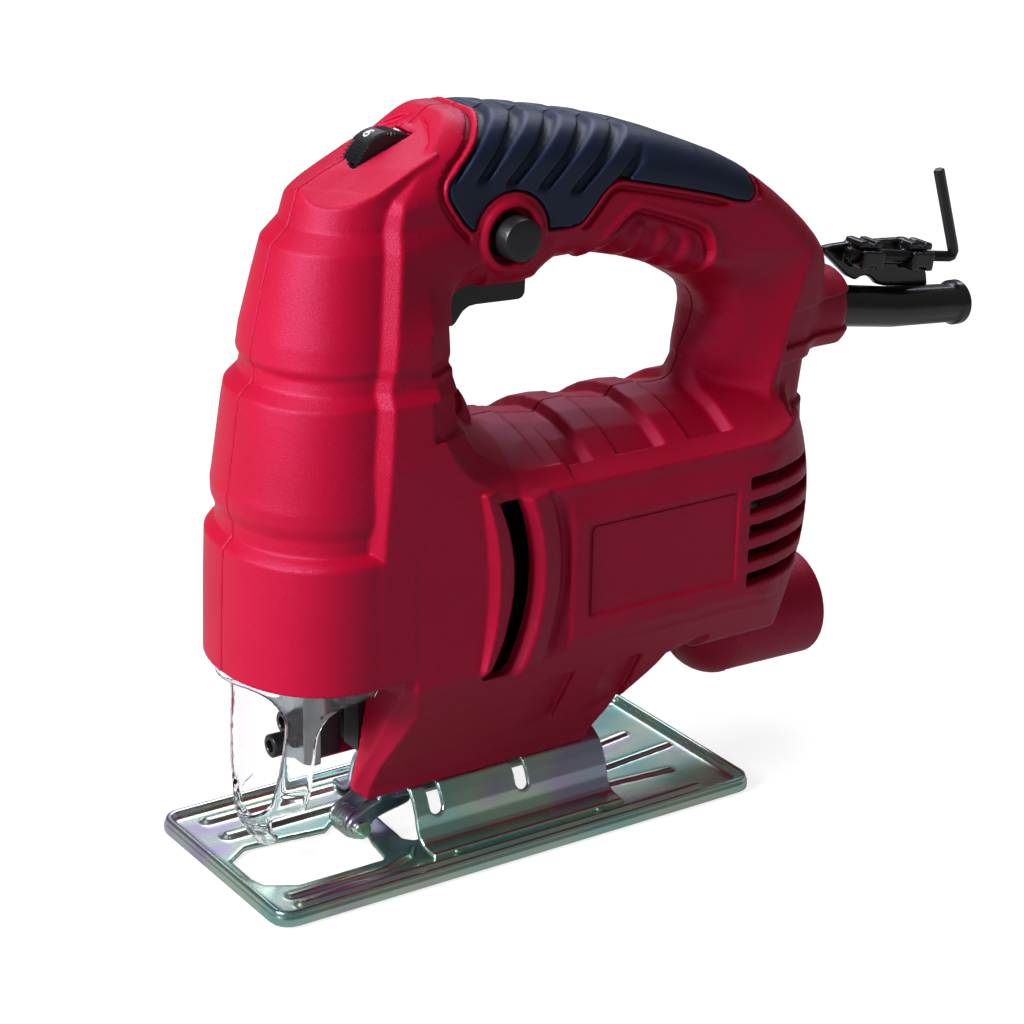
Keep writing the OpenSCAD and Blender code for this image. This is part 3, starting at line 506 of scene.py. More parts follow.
        # lips beside the curved outlet
        rad = np.hypot(x - VENT_CENTRE[0], z - VENT_CENTRE[1])
        mid = np.clip(1 - ((z - 80) / 26) ** 2, 0, 1)
        low, high = 43.2 - 6.2 * mid, 43.2 - 3.6 * mid
        lip = np.clip((rad - low) / np.maximum(high - low, 0.4), 0, 1) * np.clip((46.6 - rad) / (46.6 - high), 0, 1)
        rise = rise + 1.8 * lip * step_to(mid, 0.0, 0.12)
        lip = np.interp(rad, [50.6, 53.0, 54.0, 58.6, 59.5], [-0.4, 2.0, 2.0, 1.0, 0.0]) * (rad < 59.5) * (rad > 50)
        rise = rise + lip * np.clip((z - 51) / 1.5, 0, 1) * np.clip((101.8 - z) / 1.5, 0, 1)
        rise = rise - 1.3 * np.interp(rad, [59.4, 60.2, 61.4, 62.6], [0, 1, 1, 0]) * step_to(z, 54, 62) * step_to(-z, -101, -92)
        on_side = (x < 32) & (z > 42) & (z < 104)
        f = f - self.flat(rise * on_side) * step_to(Y, 18, 22)
        # notches on the column's and the leg's rear corners
        for z0, z1, x1 in ((135.5, 146, 27.6), (119.5, 129.5, 28.4)):
            notch = np.maximum(np.maximum(z0 - z, z - z1), np.maximum(x - x1, 10 - x))
            f = np.maximum(f, -np.maximum(self.flat(notch), -(f + 1.5)))
        for z0, z1 in ((121, 131), (104, 116.5)):
            notch = np.maximum(np.maximum(z0 - z, z - z1), x + 93 + (131 - z) * -0.17)
            f = np.maximum(f, -np.maximum(self.flat(notch), -(f + 1.4)))
        # finger panel under the handle
        panel = near(softened(FINGER_PANEL, 2), x, z)
        q = x + 0.35 * (z - 150)
        ribs = 0.9 * np.cos((q + 46) / 9.2 * 2 * math.pi) * step_to(-panel, 2.5, 5.0)
        deep = 1.5 * step_to(-panel, -0.3, 0.7) - ribs
        lip = 0.7 * np.clip(1 - np.abs(panel - 1.0) / 1.4, 0, 1) * step_to(z, 146, 152)
        deep = deep + 0.9 * np.clip(1 - np.abs(panel + 0.9) / 0.9, 0, 1) * step_to(z, 148, 153)
        f = f + self.flat(deep - lip) * step_to(Y, 8, 12)
        return f

    def openings(self, f, outer):
        """Cavity, mouth and ways through; outer is the smooth body."""
        x, z, X, Y, Z = self.x, self.z, self.X, self.Y, self.Z
        plane = lambda a: self.flat(a + 0 * x + 0 * z)
        cavity = np.maximum(outer + WALL + 0.4, f + 3.0)
        inner = f + 2.0
        rad = np.hypot(x - VENT_CENTRE[0], z - VENT_CENTRE[1])
        ways = [np.where(x < 30, np.maximum(np.abs(rad - 48.0) - 3.1, np.maximum(52.4 - z, z - 100.4)), 9.0)]
        for k in range(5):
            ways.append(np.maximum(np.abs(z - 62.8 - 6.95 * k) - 1.8, np.maximum(x + 70.4, -x - 97.0)))
        radius = np.hypot(Y, Z - 72)
        posts = np.full(cavity.shape, 9.0, np.float32)
        for sx, sz in SCREWS:
            posts = np.minimum(posts, plane(np.hypot(x - sx, z - sz) - 3.6))
        webs = np.minimum(np.abs(X + 62) - 1.2, np.abs(X + 26) - 1.2)
        webs = np.maximum(webs, Z - 104)
        webs = np.maximum(webs, Y - 26.5)
        cavity = np.maximum(cavity, -np.minimum(posts, webs))
        f = np.maximum(f, -cavity)
        f = np.maximum(f, -np.maximum(radius - 27.3, np.maximum(-83 - X, X - 3)))
        for way in ways:
            f = np.maximum(f, -np.maximum(self.flat(way), 15.5 - Y))
        gear = np.hypot(Y, Z - 100)
        f = np.maximum(f, -np.maximum(np.maximum(12.8 - X, X - 34.8), np.maximum(gear - 24.5, np.maximum(-cavity - 9, inner))))
        f = np.maximum(f, -np.maximum(np.maximum(12.8 - X, X - 34.8), np.maximum(np.maximum(Y - 19.1, inner), np.maximum(60.4 - Z, Z - 112.2))))
        f = np.maximum(f, -np.maximum(np.maximum(33 - X, X - 42), np.maximum(Y - 19.4, np.maximum(73 - Z, Z - 108.5))))
        # mouth under the nose and blade space between the cheeks
        mouth = np.maximum(np.maximum(36 - X, X - 70), np.maximum(Y - 24, np.maximum(50 - Z, Z - 66.6)))
        rim = ((np.maximum(X - 46, 0) / 25.0) ** 2.15 + (np.abs(Y) / 27.5) ** 2.15) ** (1 / 2.15) - 1
        f = np.maximum(f, -np.maximum(mouth, rim * 24))
        f = np.maximum(f, -np.maximum(np.maximum(34.4 - X, X - 54.6), np.maximum(Y - 9.1, Z - 66.7)))
        f = np.maximum(f, -np.maximum(np.maximum(38.2 - X, X - 55), np.maximum(Y - 5.9, Z - 150)))
        # hollow underside over the arch
        f = np.maximum(f, -(np.hypot(Y, Z) - 22.8))
        # dial and trigger slots, lock button, dust tube, cable way
        f = np.maximum(f, -np.maximum(plane(np.hypot(x - DIAL[0], z - DIAL[1]) - DIAL_R - 0.7), Y - 4.3))
        f = np.maximum(f, -np.maximum(plane(np.maximum(np.abs(x + 1.5) - 12.5, np.abs(z - 150) - 8)), Y - 8.4))
        if self.side > 0:
            f = np.maximum(f, -plane(np.hypot(x - LOCK[0], z - LOCK[1]) - 5.95))
            f = np.maximum(f, -np.maximum(plane(np.hypot(x - LOCK[0], z - LOCK[1]) - 7.2), 16.2 - Y))
        f = np.maximum(f, -np.maximum(np.hypot(Y, Z - 37) - 15.1, np.maximum(-121 - X, X + 82.8)))
        s = -(X - SLEEVE_AT[0]) * math.cos(SLEEVE_TILT) - (Z - SLEEVE_AT[2]) * math.sin(SLEEVE_TILT)
        off = np.hypot(Y, (X - SLEEVE_AT[0]) * -math.sin(SLEEVE_TILT) + (Z - SLEEVE_AT[2]) * math.cos(SLEEVE_TILT))
        f = np.maximum(f, -np.maximum(off - 5.75, -7 - s))
        if self.side < 0:
            for sx, sz in SCREWS:
                f = np.maximum(f, -np.maximum(plane(np.hypot(x - sx, z - sz) - 3.1), 15.2 - Y))
        else:
            for sx, sz in SCREWS:
                f = np.maximum(f, -np.maximum(plane(np.hypot(x - sx, z - sz) - 1.6), Y - 10))
        return f

    def build(self):
        x, z, X, Y, Z = self.x, self.z, self.X, self.Y, self.Z
        body = self.body()
        # rear boss round the cable sleeve
        s = -(X - SLEEVE_AT[0]) * math.cos(SLEEVE_TILT) - (Z - SLEEVE_AT[2]) * math.sin(SLEEVE_TILT)
        off = np.hypot(Y, (X - SLEEVE_AT[0]) * -math.sin(SLEEVE_TILT) + (Z - SLEEVE_AT[2]) * math.cos(SLEEVE_TILT))
        boss = rounded_both(s - 15.5, off - 13.6 + 0.12 * s, 5.0)
        boss = np.maximum(boss, -10 - s)
        body = join(body, boss, 3.0)
        dome = np.sqrt(((X + 84) / 14.5) ** 2 + (Y / 15.3) ** 2 + ((Z - 37) / 15.3) ** 2) - 1
        body = join(body, np.maximum(dome * 15, -84.0 - X), 1.0)
        f = self.details(body)
        grip_map = near(softened(GRIP_OUTLINE, 1), x, z)
        grip_in = self.flat(grip_map)
        lock_r = np.hypot(x - LOCK[0], z - LOCK[1])
        ring = self.flat(lock_r)
        if self.side > 0:
            collar = rounded_both(ring - 10.2, Y - 19.8 + 0.25 * np.maximum(ring - 8, 0), 2.2)
            collar = rounded_both(collar, -np.maximum(ring - 7.3, 16.5 - Y), 0.8)
        else:
            collar = rounded_both(ring - 10.2, Y - 18.6, 1.6)
        keep = ring - 11.0
        grip_zone = np.maximum(grip_in, -keep)
        skin = np.maximum(grip_zone, -(body + 3.0))
        gap = np.maximum(np.abs(grip_zone - 1.9) - 0.75, -(body + 1.4))
        gap = np.maximum(gap, np.maximum(164 - Z, 12.6 - ring))
        f = np.maximum(np.maximum(f - 0.35 * np.clip(1 - np.abs(grip_zone - 0.5) / 0.9, 0, 1), -skin), -gap)
        f = np.minimum(f, np.maximum(collar, 3 - Y))
        f = self.openings(f, body)
        # rubber grip with ribs
        phase = (grip_phase(X, Y, Z) + 10.7) / 10.2
        wave = np.abs(phase - np.round(phase))
        ends = np.interp(self.xs, [-24, 8], [172.5, 179.8])[:, None, None]
        region = step_to(X, -43, -38) * step_to(Z - ends, -1.0, 1.5) * step_to(-X + 0.25 * Y, -13.5, -10.5)
        grooves = 1.75 * step_to(-wave, -0.24, -0.10) * region
        rubber = np.maximum(body - 0.25 + grooves, grip_zone + 0.5)
        rubber = np.maximum(rubber, -(body + 2.95))
        if self.side > 0:
            rubber = np.maximum(rubber, 5.95 - ring)
        seam = 0.02 + 0 * Y
        return np.maximum(f, seam - Y), np.maximum(rubber, seam - Y)


def mesh_half(name, field, grid, side, slot):
    verts, quads = surface_net(field, grid.xs, grid.ys, grid.zs)
    if side < 0:
        verts = verts * (1, -1, 1)
        quads = quads[:, ::-1]
    return make_piece(name, verts, quads, slot, "casing")


for side, label in ((1, "left"), (-1, "right")):
    grid = Casing(side)
    shell, rubber = grid.build()
    piece = mesh_half("casing_" + label, shell, grid, side, "red_plastic")
    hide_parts("housing_" + label)
    piece = mesh_half("soft_grip_" + label, rubber, grid, side, "soft_grip")
    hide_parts("grip_" + label)

# ---------------------------------------------------------------- pieces made from small distance fields


def metric(field, step):
    """The field divided by its slope, so that its values are close to distances."""
    slopes = np.gradient(field, step)
    return field / np.maximum(np.sqrt(sum(g * g for g in slopes)), 1e-3)


def field_piece(name, low, high, step, make, slot, body, *nodes):
    """A piece from make(X, Y, Z), its field on a grid from low to high; it stands for the CAD nodes."""
    axes = [np.arange(a, b + step, step, dtype=np.float32) for a, b in zip(low, high)]
    X, Y, Z = np.meshgrid(*axes, indexing="ij")
    verts, quads = surface_net(make(X, Y, Z), *axes)
    piece = make_piece(name, verts, quads, slot, body)
    if nodes:
        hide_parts(*nodes)
    return piece


def box(X, Y, Z, low, high):
    """Signed distance to a box, exact enough for cutting and joining."""
    sides = [np.maximum(a - v, v - b) for v, a, b in zip((X, Y, Z), low, high)]
    return np.maximum(np.maximum(sides[0], sides[1]), sides[2])


GUARD_SIDE = [
    (36, 66), (36, 49), (46, 48.6), (51.5, 47), (54.2, 43.5), (55.2, 40), (56.4, 21), (57.2, 19.3), (62.5, 18.6),
    (63.8, 16.6), (62.8, 13.4), (59.8, 9.5), (59.4, 6.8), (60.6, 5.4), (63, 4), (80, 4), (80, 66),
]
GUARD_WINDOW = [
    (-14, 45.4), (-13.6, 48.8), (-12.5, 51.9), (-10.6, 54.2), (-6.7, 55.6), (6.7, 55.6), (10.6, 54.2), (12.5, 51.9),
    (13.6, 48.8), (14, 45.4), (13.1, 35.5), (11.7, 28.2), (10.4, 23.6), (7.9, 19.8), (4, 17.2), (0, 16.4), (-4, 17.2),
    (-7.9, 19.8), (-10.4, 23.6), (-11.7, 28.2), (-13.1, 35.5),
]
GUARD_FRONT = ([4, 5.6, 6.6, 10, 14, 24, 42, 57, 58.2, 58.4, 66], [55, 61.5, 63.2, 65.8, 67.9, 70.4, 72.3, 73.1, 73.1, 69.3, 69.3])
GUARD_HALF = ([4, 5.5, 8, 13, 19, 26, 34, 66], [0.6, 3, 7, 12, 15.2, 17.3, 18, 18])
GUARD_WALL = 1.5
GUARD_X = 48


def guard(X, Y, Z):
    front = span(GUARD_FRONT, Z) - GUARD_X
    half = span(GUARD_HALF, Z)
    bowl = np.hypot(np.maximum(X - GUARD_X, 0) / front, Y / half) - 1
    bowl = metric(bowl * 16, GUARD_STEP)
    mid = bowl + GUARD_WALL / 2
    shell = np.abs(mid) - GUARD_WALL / 2
    side = near(softened(GUARD_SIDE, 1), X[:, :1, :], Z[:, :1, :]) + 0 * Y
    window = near(softened(GUARD_WINDOW, 1), Y[:1], Z[:1]) + 0 * X
    window = np.maximum(window, 56 - X)
    shell = rounded_both(shell, side, 0.7)
    shell = rounded_both(shell, -window, 0.7)
    return np.maximum(np.maximum(shell, Z - 63), 36.6 - X)


GUARD_STEP = 0.45
field_piece("guard", (35.8, -19.6, 3), (74.4, 19.6, 63.6), GUARD_STEP, guard, "clear_plastic", "casing", "front_guard")

# The shoe: a sheet with a turned-up rim, pressed beads and two openings
SHOE_HALF_L, SHOE_HALF_W, SHOE_CORNER = 75.0, 33.0, 5.0
SHEET = 1.6
RIM = 4.0
BLADE_OPENING = [
    (69.4, -3.6), (62.5, -8.4), (52, -7.4), (39.4, -5.8), (35.6, -8.8), (31.4, -8.8), (31.4, 3), (32.4, 6), (33.9, 15), (35.4, 16.8), (60.7, 16.9), (68.3, 12.4), (69.5, 8),
]
SOLE_OPENING = [(23.6, -9), (24.6, 9.4), (22.6, 11.8), (-33, 12), (-35, 10), (-35, -10), (-33, -12), (21, -12)]
BEADS = [
    (2.6, 1.3, [(65.2, 26.6), (-60, 26.6)]), (2.6, 1.3, [(63.5, -15.4), (24, -15.6)]),
    (2.6, 1.3, [(64, -25.8), (-58, -25.8)]), (2.2, 0.9, [(65.4, 21.4), (37.6, 21.4), (29.5, 18.6), (26.6, 15.2)]),
    (2.0, 1.0, [(-50, -9), (-62.5, -11)]), (2.0, 1.0, [(-44, 3.8), (-69, 1.2)]), (2.0, 0.8, [(-40, 12.4), (-60, 14)]),
]


def shoe(X, Y, Z):
    x, y = X[:, :, :1], Y[:, :, :1]
    flat = [v - half + SHOE_CORNER for v, half in ((np.abs(x), SHOE_HALF_L), (np.abs(y), SHOE_HALF_W))]
    edge = np.hypot(np.maximum(flat[0], 0), np.maximum(flat[1], 0)) + np.minimum(np.maximum(*flat), 0) - SHOE_CORNER
    lift = 0 * x
    for half, height, line in BEADS:
        lift = np.maximum(lift, height * step_to(-along(line, x, y), -half, -0.3 * half))
    sheet = np.maximum(edge, np.abs(Z - lift - SHEET / 2) - SHEET / 2)
    wall = rounded_both(np.abs(edge + 0.9) - 0.9, np.maximum(Z - RIM, -Z), 0.6)
    f = join(sheet, wall, 2.2)
    f = np.maximum(f, -Z)
    for opening in (BLADE_OPENING, SOLE_OPENING):
        f = rounded_both(f, -(near(opening, x, y) + 0 * Z), 0.3)
    return f


field_piece("shoe_plate", (-76, -34, -0.8), (76, 34, 5), 0.5, shoe, "zinc_steel", "shoe", "shoe")

# The bevel arch: one bent sheet with three slots
ARCH_LINE = [
    *[(21.6 * math.sin(math.radians(a)), 21.6 * math.cos(math.radians(a))) for a in range(0, 40, 3)],
    (15.2, 14.6), (16.6, 11.2), (17.5, 7.6), (18.6, 5.2), (20.6, 3.8), (23, 3.4), (25.6, 3.4),
]
ARCH_X = (-36.0, 25.4)
ARCH_SLOTS = [(18.9, 2.0, 57), (5, 2.3, 34), (-8.4, 2.0, 57)]


def arch(X, Y, Z):
    y, z = np.abs(Y[:1]), Z[:1]
    sheet = along(ARCH_LINE, y, z) - 0.9 + 0 * X
    ends = np.maximum(ARCH_X[0] - X, X - ARCH_X[1])
    f = rounded_both(sheet, ends, 0.5)
    turn = np.degrees(np.arctan2(np.abs(Y), np.maximum(Z, 0.1)))
    for x, half, end in ARCH_SLOTS:
        past = np.maximum(turn - end + 4, 0) * math.radians(21.6)
        f = rounded_both(f, half - np.hypot(X - x, past), 0.4)
    return f


field_piece("arch", (-37, -27, 1.8), (26.4, 27, 23.4), 0.5, arch, "zinc_steel", "shoe", "bevel_arch")

# The roller's fork
FORK_SIDE = [
    (39.2, 5.7), (38.6, 8), (36.8, 9.3), (34, 10.6), (31.5, 11.9), (28.8, 12.3), (28.8, 26), (20.5, 26), (20.5, 23.8),
    (26.2, 23.8), (26.2, 12.4), (21, 12.2), (19.6, 11.4), (19.6, 9.6), (21, 8.8), (27, 7.8), (31, 6.8), (32.2, 4.6),
    (33.2, 2.9), (35.6, 2.1), (38, 2.9),
]


def fork(X, Y, Z):
    side = near(softened(FORK_SIDE, 1), X[:, :1, :], Z[:, :1, :]) + 0 * Y
    arms = rounded_both(side, np.abs(np.abs(Y) - 4.5) - 0.8, 0.5)
    web = rounded_both(side, np.maximum(np.abs(Y) - 5.3, np.maximum(X - 28.4, 11 - Z)), 0.5)
    web = np.maximum(web, -np.maximum(np.maximum(22.6 - X, Z - 23.6), X - 26.4))
    return np.minimum(arms, web)


field_piece("roller_fork", (18.8, -6.4, 1.2), (40.2, 6.4, 27), 0.35, fork, "zinc_steel", "casing", "roller_bracket")

# Blade clamp: a steel block on the plunger with a black block behind it and two cap screws
CLAMP_SCREW_Z = (33.4, 39.2)


def clamp(X, Y, Z):
    block = rounded_both(np.maximum(np.abs(X - 49.7) - 2.6, np.abs(Y + 1.1) - 6.3), np.maximum(27 - Z, Z - 50), 0.7)
    foot = (Z - 27) + (52.3 - X) * 0.6 - 1.6
    block = np.maximum(block, -foot)
    block = np.maximum(block, (22.6 - Y - Z) * 0.7071)
    stem = np.maximum(np.hypot(X - 46.5, Y) - 5.2, np.maximum(41 - Z, Z - 52))
    block = np.minimum(block, rounded_both(stem, Z - 52, 0.4))
    blade = box(X, Y, Z, (39, -0.9, 20), (49.2, 0.9, 40))
    f = np.maximum(block, -blade)
    for z in CLAMP_SCREW_Z:
        f = np.maximum(f, -np.maximum(np.hypot(Y, Z - z) - 2.0, 45 - X))
    return f


def clamp_rear(X, Y, Z):
    block = rounded_both(np.maximum(np.abs(X - 44) - 3.1, np.abs(Y) - 4.6), np.maximum(29 - Z, Z - 43), 0.6)
    return np.maximum(block, -box(X, Y, Z, (39, -0.9, 20), (49.2, 0.9, 40)))


CLAMP_STEP = 0.3
field_piece("clamp_block", (40, -8.4, 26), (53.2, 6.2, 53), CLAMP_STEP, clamp, "machined_steel", "plunger", "blade_clamp")
field_piece("clamp_rear", (40, -5.6, 28), (48, 5.6, 44), CLAMP_STEP, clamp_rear, "black_steel", "plunger")

# Key holder: a plate that stands on the sleeve, with two clips that grip the key
KEY_AT, KEY_TILT = np.array([-128.0, 1.5, 138.3]), math.radians(9)
HOLDER_SIDE = [
    (-118.4, 140.3), (-124.3, 140.9), (-144.7, 139.6), (-152.5, 138.4), (-155.4, 136.2), (-160.2, 124.2), (-157.8, 122.9),
    (-141.3, 125.8), (-137.9, 129.2), (-134.9, 130.2), (-131.2, 128.8), (-122.3, 136.8),
]


def along_key(X, Z):
    """Distance along the key from its free end, and height above its axis."""
    c, s = math.cos(KEY_TILT), math.sin(KEY_TILT)
    dx, dz = X - KEY_AT[0], Z - KEY_AT[2]
    return -dx * c - dz * s, -dx * s + dz * c


def key_holder(X, Y, Z):
    run, rise = along_key(X, Z)
    plate = rounded_both(near(softened(HOLDER_SIDE, 1), X[:, :1, :], Z[:, :1, :]) + 0 * Y, np.abs(Y + 3.6) - 1.3, 0.6)
    off = np.hypot(Y - KEY_AT[1], rise)
    for start in (1.5, 20.5):
        clip = rounded_both(np.maximum(np.abs(Y + 0.4) - 4.7, np.abs(rise) - 3.9), np.abs(run - start - 3.5) - 4.2, 1.0)
        groove = np.maximum(np.abs(Y - 3.4) - 1.2, 1.4 - rise)
        waist = np.maximum(np.abs(run - start - 3.5) - 1.4, 2.9 - np.abs(rise))
        clip = np.maximum(np.maximum(clip, -groove), -waist)
        plate = join(plate, clip, 0.8)
    bridge = rounded_both(np.maximum(np.abs(run - 13.5) - 14, np.abs(Y + 2.6) - 2), np.abs(rise + 1) - 2.2, 0.6)
    plate = np.minimum(plate, bridge)
    plate = np.maximum(plate, 1.78 - off)
    sleeve = np.hypot(Y, (X - SLEEVE_AT[0]) * -math.sin(SLEEVE_TILT) + (Z - SLEEVE_AT[2]) * math.cos(SLEEVE_TILT))
    return np.maximum(plate, 5.7 - sleeve)


field_piece("key_cradle", (-161.5, -6, 121.6), (-117, 5.4, 144), 0.4, key_holder, "black_pvc",
            "casing", "key_holder")

# ---------------------------------------------------------------- turned, bent and extruded pieces


def curve(points, times=3):
    """An open path with rounded bends."""
    pts = np.asarray(points, float)
    for _ in range(times):
        inner = np.stack([0.75 * pts[:-1] + 0.25 * pts[1:], 0.25 * pts[:-1] + 0.75 * pts[1:]], 1).reshape(-1, 3)
        pts = np.concatenate([pts[:1], inner, pts[-1:]])
    return pts


def swept(name, path, profile, slot, body, sides=48, nodes=(), material=None, side=(0, 1, 0)):
    """A round or polygonal bar along a path; profile gives (distance along the path, radius) from end to end."""
    path = np.asarray(path, float)
    run = np.concatenate([[0], np.cumsum(np.linalg.norm(np.diff(path, axis=0), axis=1))])
    verts, faces = [], []
    angles = np.arange(sides) * 2 * math.pi / sides
    for s, radius in profile:
        ahead, behind, centre = (
            np.array([np.interp(np.clip(t, 0, run[-1]), run, path[:, k]) for k in range(3)])
            for t in (min(s, run[-1] - 0.2) + 0.2, max(s, 0.2) - 0.2, s)
        )
        tangent = (ahead - behind) / np.linalg.norm(ahead - behind)
        u = np.asarray(side, float) - np.dot(side, tangent) * tangent
        u = u / np.linalg.norm(u)
        v = np.cross(tangent, u)
        verts.extend(centre + radius * (math.cos(a) * u + math.sin(a) * v) for a in angles)
    for ring in range(len(profile) - 1):
        for k in range(sides):
            a, b = ring * sides + k, ring * sides + (k + 1) % sides
            faces.append((a, b, b + sides, a + sides))
    last = (len(profile) - 1) * sides
    faces.append(tuple(range(sides - 1, -1, -1)))
    faces.append(tuple(range(last, last + sides)))
    piece = make_piece(name, verts, faces, slot, body, material=material)
    piece.data.set_sharp_from_angle(angle=math.radians(32))
    if nodes:
        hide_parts(*nodes)
    return piece


def slab(name, outline, low, high, slot, body, bevel, nodes=()):
    """An outline in x and z, from y = low to y = high, with rounded edges."""
    count = len(outline)
    verts = [(x, low, z) for x, z in outline] + [(x, high, z) for x, z in outline]
    area = sum(a[0] * b[1] - b[0] * a[1] for a, b in zip(outline, [*outline[1:], outline[0]]))
    order = range(count) if area > 0 else range(count - 1, -1, -1)
    order = list(order)
    faces = [tuple(order), tuple(count + k for k in reversed(order))]
    for a, b in zip(order, order[1:] + order[:1]):
        faces.append((b, a, a + count, b + count))
    piece = make_piece(name, verts, faces, slot, body)
    sharpen(piece, 30.0, bevel, 3)
    if nodes:
        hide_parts(*nodes)
    return piece


def rounded_end(length, radius, edge, steps=4):
    """Profile points for a bar's far end with a rounded rim."""
    turns = [math.pi / 2 * k / steps for k in range(steps + 1)]
    return [(length - edge + edge * math.sin(t), radius - edge + edge * math.cos(t)) for t in turns]


# Dust outlet, a tube on the rear of the duct
swept("dust_spout", [(-78, 0, 37), (-113, 0, 37)],
      [(0, 13.6), (5, 14.9), (7, 15.0), (30, 15.5), *rounded_end(35, 15.6, 0.8), (35, 13.4), (34.4, 13.0), (3, 12.6)],
      "red_plastic", "casing", 96, ("dust_port",))

# Cable sleeve and the hex key
sleeve_path = curve([(-106, 0, 126), (-125, 0, 123.6), (-142, 0, 120.4), (-158, 0, 118.3), (-169.6, 0, 117.9)])
swept("cable_sleeve", sleeve_path,
      [(0, 3.6), (0, 6.0), (20, 5.9), (38, 5.8), (60.2, 5.6), (60.8, 6.0), (61.4, 6.5), (63.2, 6.5), *rounded_end(64.0, 6.5, 0.5),
       (64.0, 4.0), (63.4, 3.5), (30, 3.5)],
      "black_pvc", "casing", 64, ("cord_guard",))
key_dir = np.array([-math.cos(KEY_TILT), 0, -math.sin(KEY_TILT)])
rise_dir = np.array([0.42, 0, 1.3])
key_bend = KEY_AT + 38 * key_dir
key_path = curve([KEY_AT - 3 * key_dir, KEY_AT + 33 * key_dir, key_bend, key_bend + 4.0 * rise_dir, key_bend + 20.5 * rise_dir], 3)
key_length = float(np.linalg.norm(np.diff(key_path, axis=0), axis=1).sum())
key_rings = np.linspace(0.3, key_length - 0.3, 60)
swept("bent_key", key_path, [(0, 1.25), *[(s, 1.62) for s in key_rings], (key_length, 1.25)], "black_steel", "key", 6, ("hex_key",))

# Guide roller with grooves, and its pin
roller_profile = [(0, 1.3), (0, 2.4)]
for k in range(4):
    roller_profile += [(0.15 + 1.6 * k, 3.2), (0.4 + 1.6 * k, 3.95), (1.2 + 1.6 * k, 3.95), (1.45 + 1.6 * k, 3.2)]
roller_profile += [(6.4, 2.4), (6.4, 1.3), (0, 1.3)]
ROLLER_AT = (35.6, 5.7)
swept("grooved_roller", [(ROLLER_AT[0], -3.2, ROLLER_AT[1]), (ROLLER_AT[0], 3.2, ROLLER_AT[1])], roller_profile, "zinc_steel",
      "roller", 64, ("guide_roller",), side=(1, 0, 0))
swept("roller_axle", [(ROLLER_AT[0], -6.6, ROLLER_AT[1]), (ROLLER_AT[0], 7.6, ROLLER_AT[1])],
      [(0, 1.8), (0.4, 2.3), (1.2, 2.3), (1.2, 1.25), (12.0, 1.25), (12.0, 2.5), *rounded_end(14.2, 2.5, 0.5)],
      "zinc_steel", "casing", 48, ("roller_pin",), side=(1, 0, 0))

# Clamp screws
for index, (z, end) in enumerate(zip(CLAMP_SCREW_Z, (13.4, 9.8))):
    head = swept("clamp_screw_" + "ab"[index], [(46, 0, z), (46 + end, 0, z)],
                 [(0, 1.4), (0.6, 1.95), (end - 4, 1.95), (end - 4, 2.8), (end - 3.7, 3.1), *rounded_end(end, 3.15, 0.5),
                  (end, 1.8), (end - 0.2, 1.6), (end - 2, 1.5)],
                 "black_steel", "plunger", 48)
    if index == 0:
        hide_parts("clamp_screws")

# Lock button and trigger
swept("lock_knob", [(LOCK[0], 8.6, LOCK[1]), (LOCK[0], 23.9, LOCK[1])],
      [(0, 2.8), (4.6, 2.9), (4.6, 5.2), (5.0, 5.6), (14.3, 5.55), (14.9, 5.2), (15.15, 4.6), (15.25, 3), (15.3, 0.2)],
      "black_plastic", "lock", 64, ("lock_button",), side=(1, 0, 0))
TRIGGER_SIDE = [
    (11, 157), (11, 141.4), (10.2, 140.6), (9.0, 141.4), (6.8, 144.2), (5, 145.2), (3, 145.4), (-10, 144.8), (-11.4, 145.2),
    (-12, 146.4), (-12.4, 157),
]
slab("trigger_pad", TRIGGER_SIDE, -8, 8, "black_plastic", "trigger", 0.9, ("trigger",))

# Speed dial: a wheel with a smooth pad for each figure and ribs between
DIAL_HALF = 3.7


def dial_radius(angle):
    """Six smooth pads, 50 degrees apart from 69 degrees on, with ribs everywhere else."""
    past = (angle - 69 + 25) % 360
    pad = (past < 300) & (np.abs(past % 50 - 25) < 17)
    wave = 0.5 - 0.5 * np.cos(math.radians(angle * 60))
    return DIAL_R - np.where(pad, 0.05, 0.85 * (1 - wave) ** 0.7)


dial_angles = np.arange(0, 360, 1.0)
dial_verts = []
for y, inset in ((-DIAL_HALF, 0.5), (-DIAL_HALF + 0.5, 0.0), (DIAL_HALF - 0.5, 0.0), (DIAL_HALF, 0.5)):
    for angle in dial_angles:
        radius = float(dial_radius(angle)) - inset
        dial_verts.append((DIAL[0] + radius * math.cos(math.radians(angle)), y, DIAL[1] + radius * math.sin(math.radians(angle))))
n_dial = len(dial_angles)
dial_faces = [
    (ring * n_dial + (k + 1) % n_dial, ring * n_dial + k, (ring + 1) * n_dial + k, (ring + 1) * n_dial + (k + 1) % n_dial)
    for ring in range(3) for k in range(n_dial)
]
dial_faces += [tuple(range(n_dial)), tuple(range(4 * n_dial - 1, 3 * n_dial - 1, -1))]
wheel = make_piece("dial_wheel", dial_verts, dial_faces, "black_plastic", "dial")
wheel.data.set_sharp_from_angle(angle=math.radians(30))
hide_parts("speed_dial")

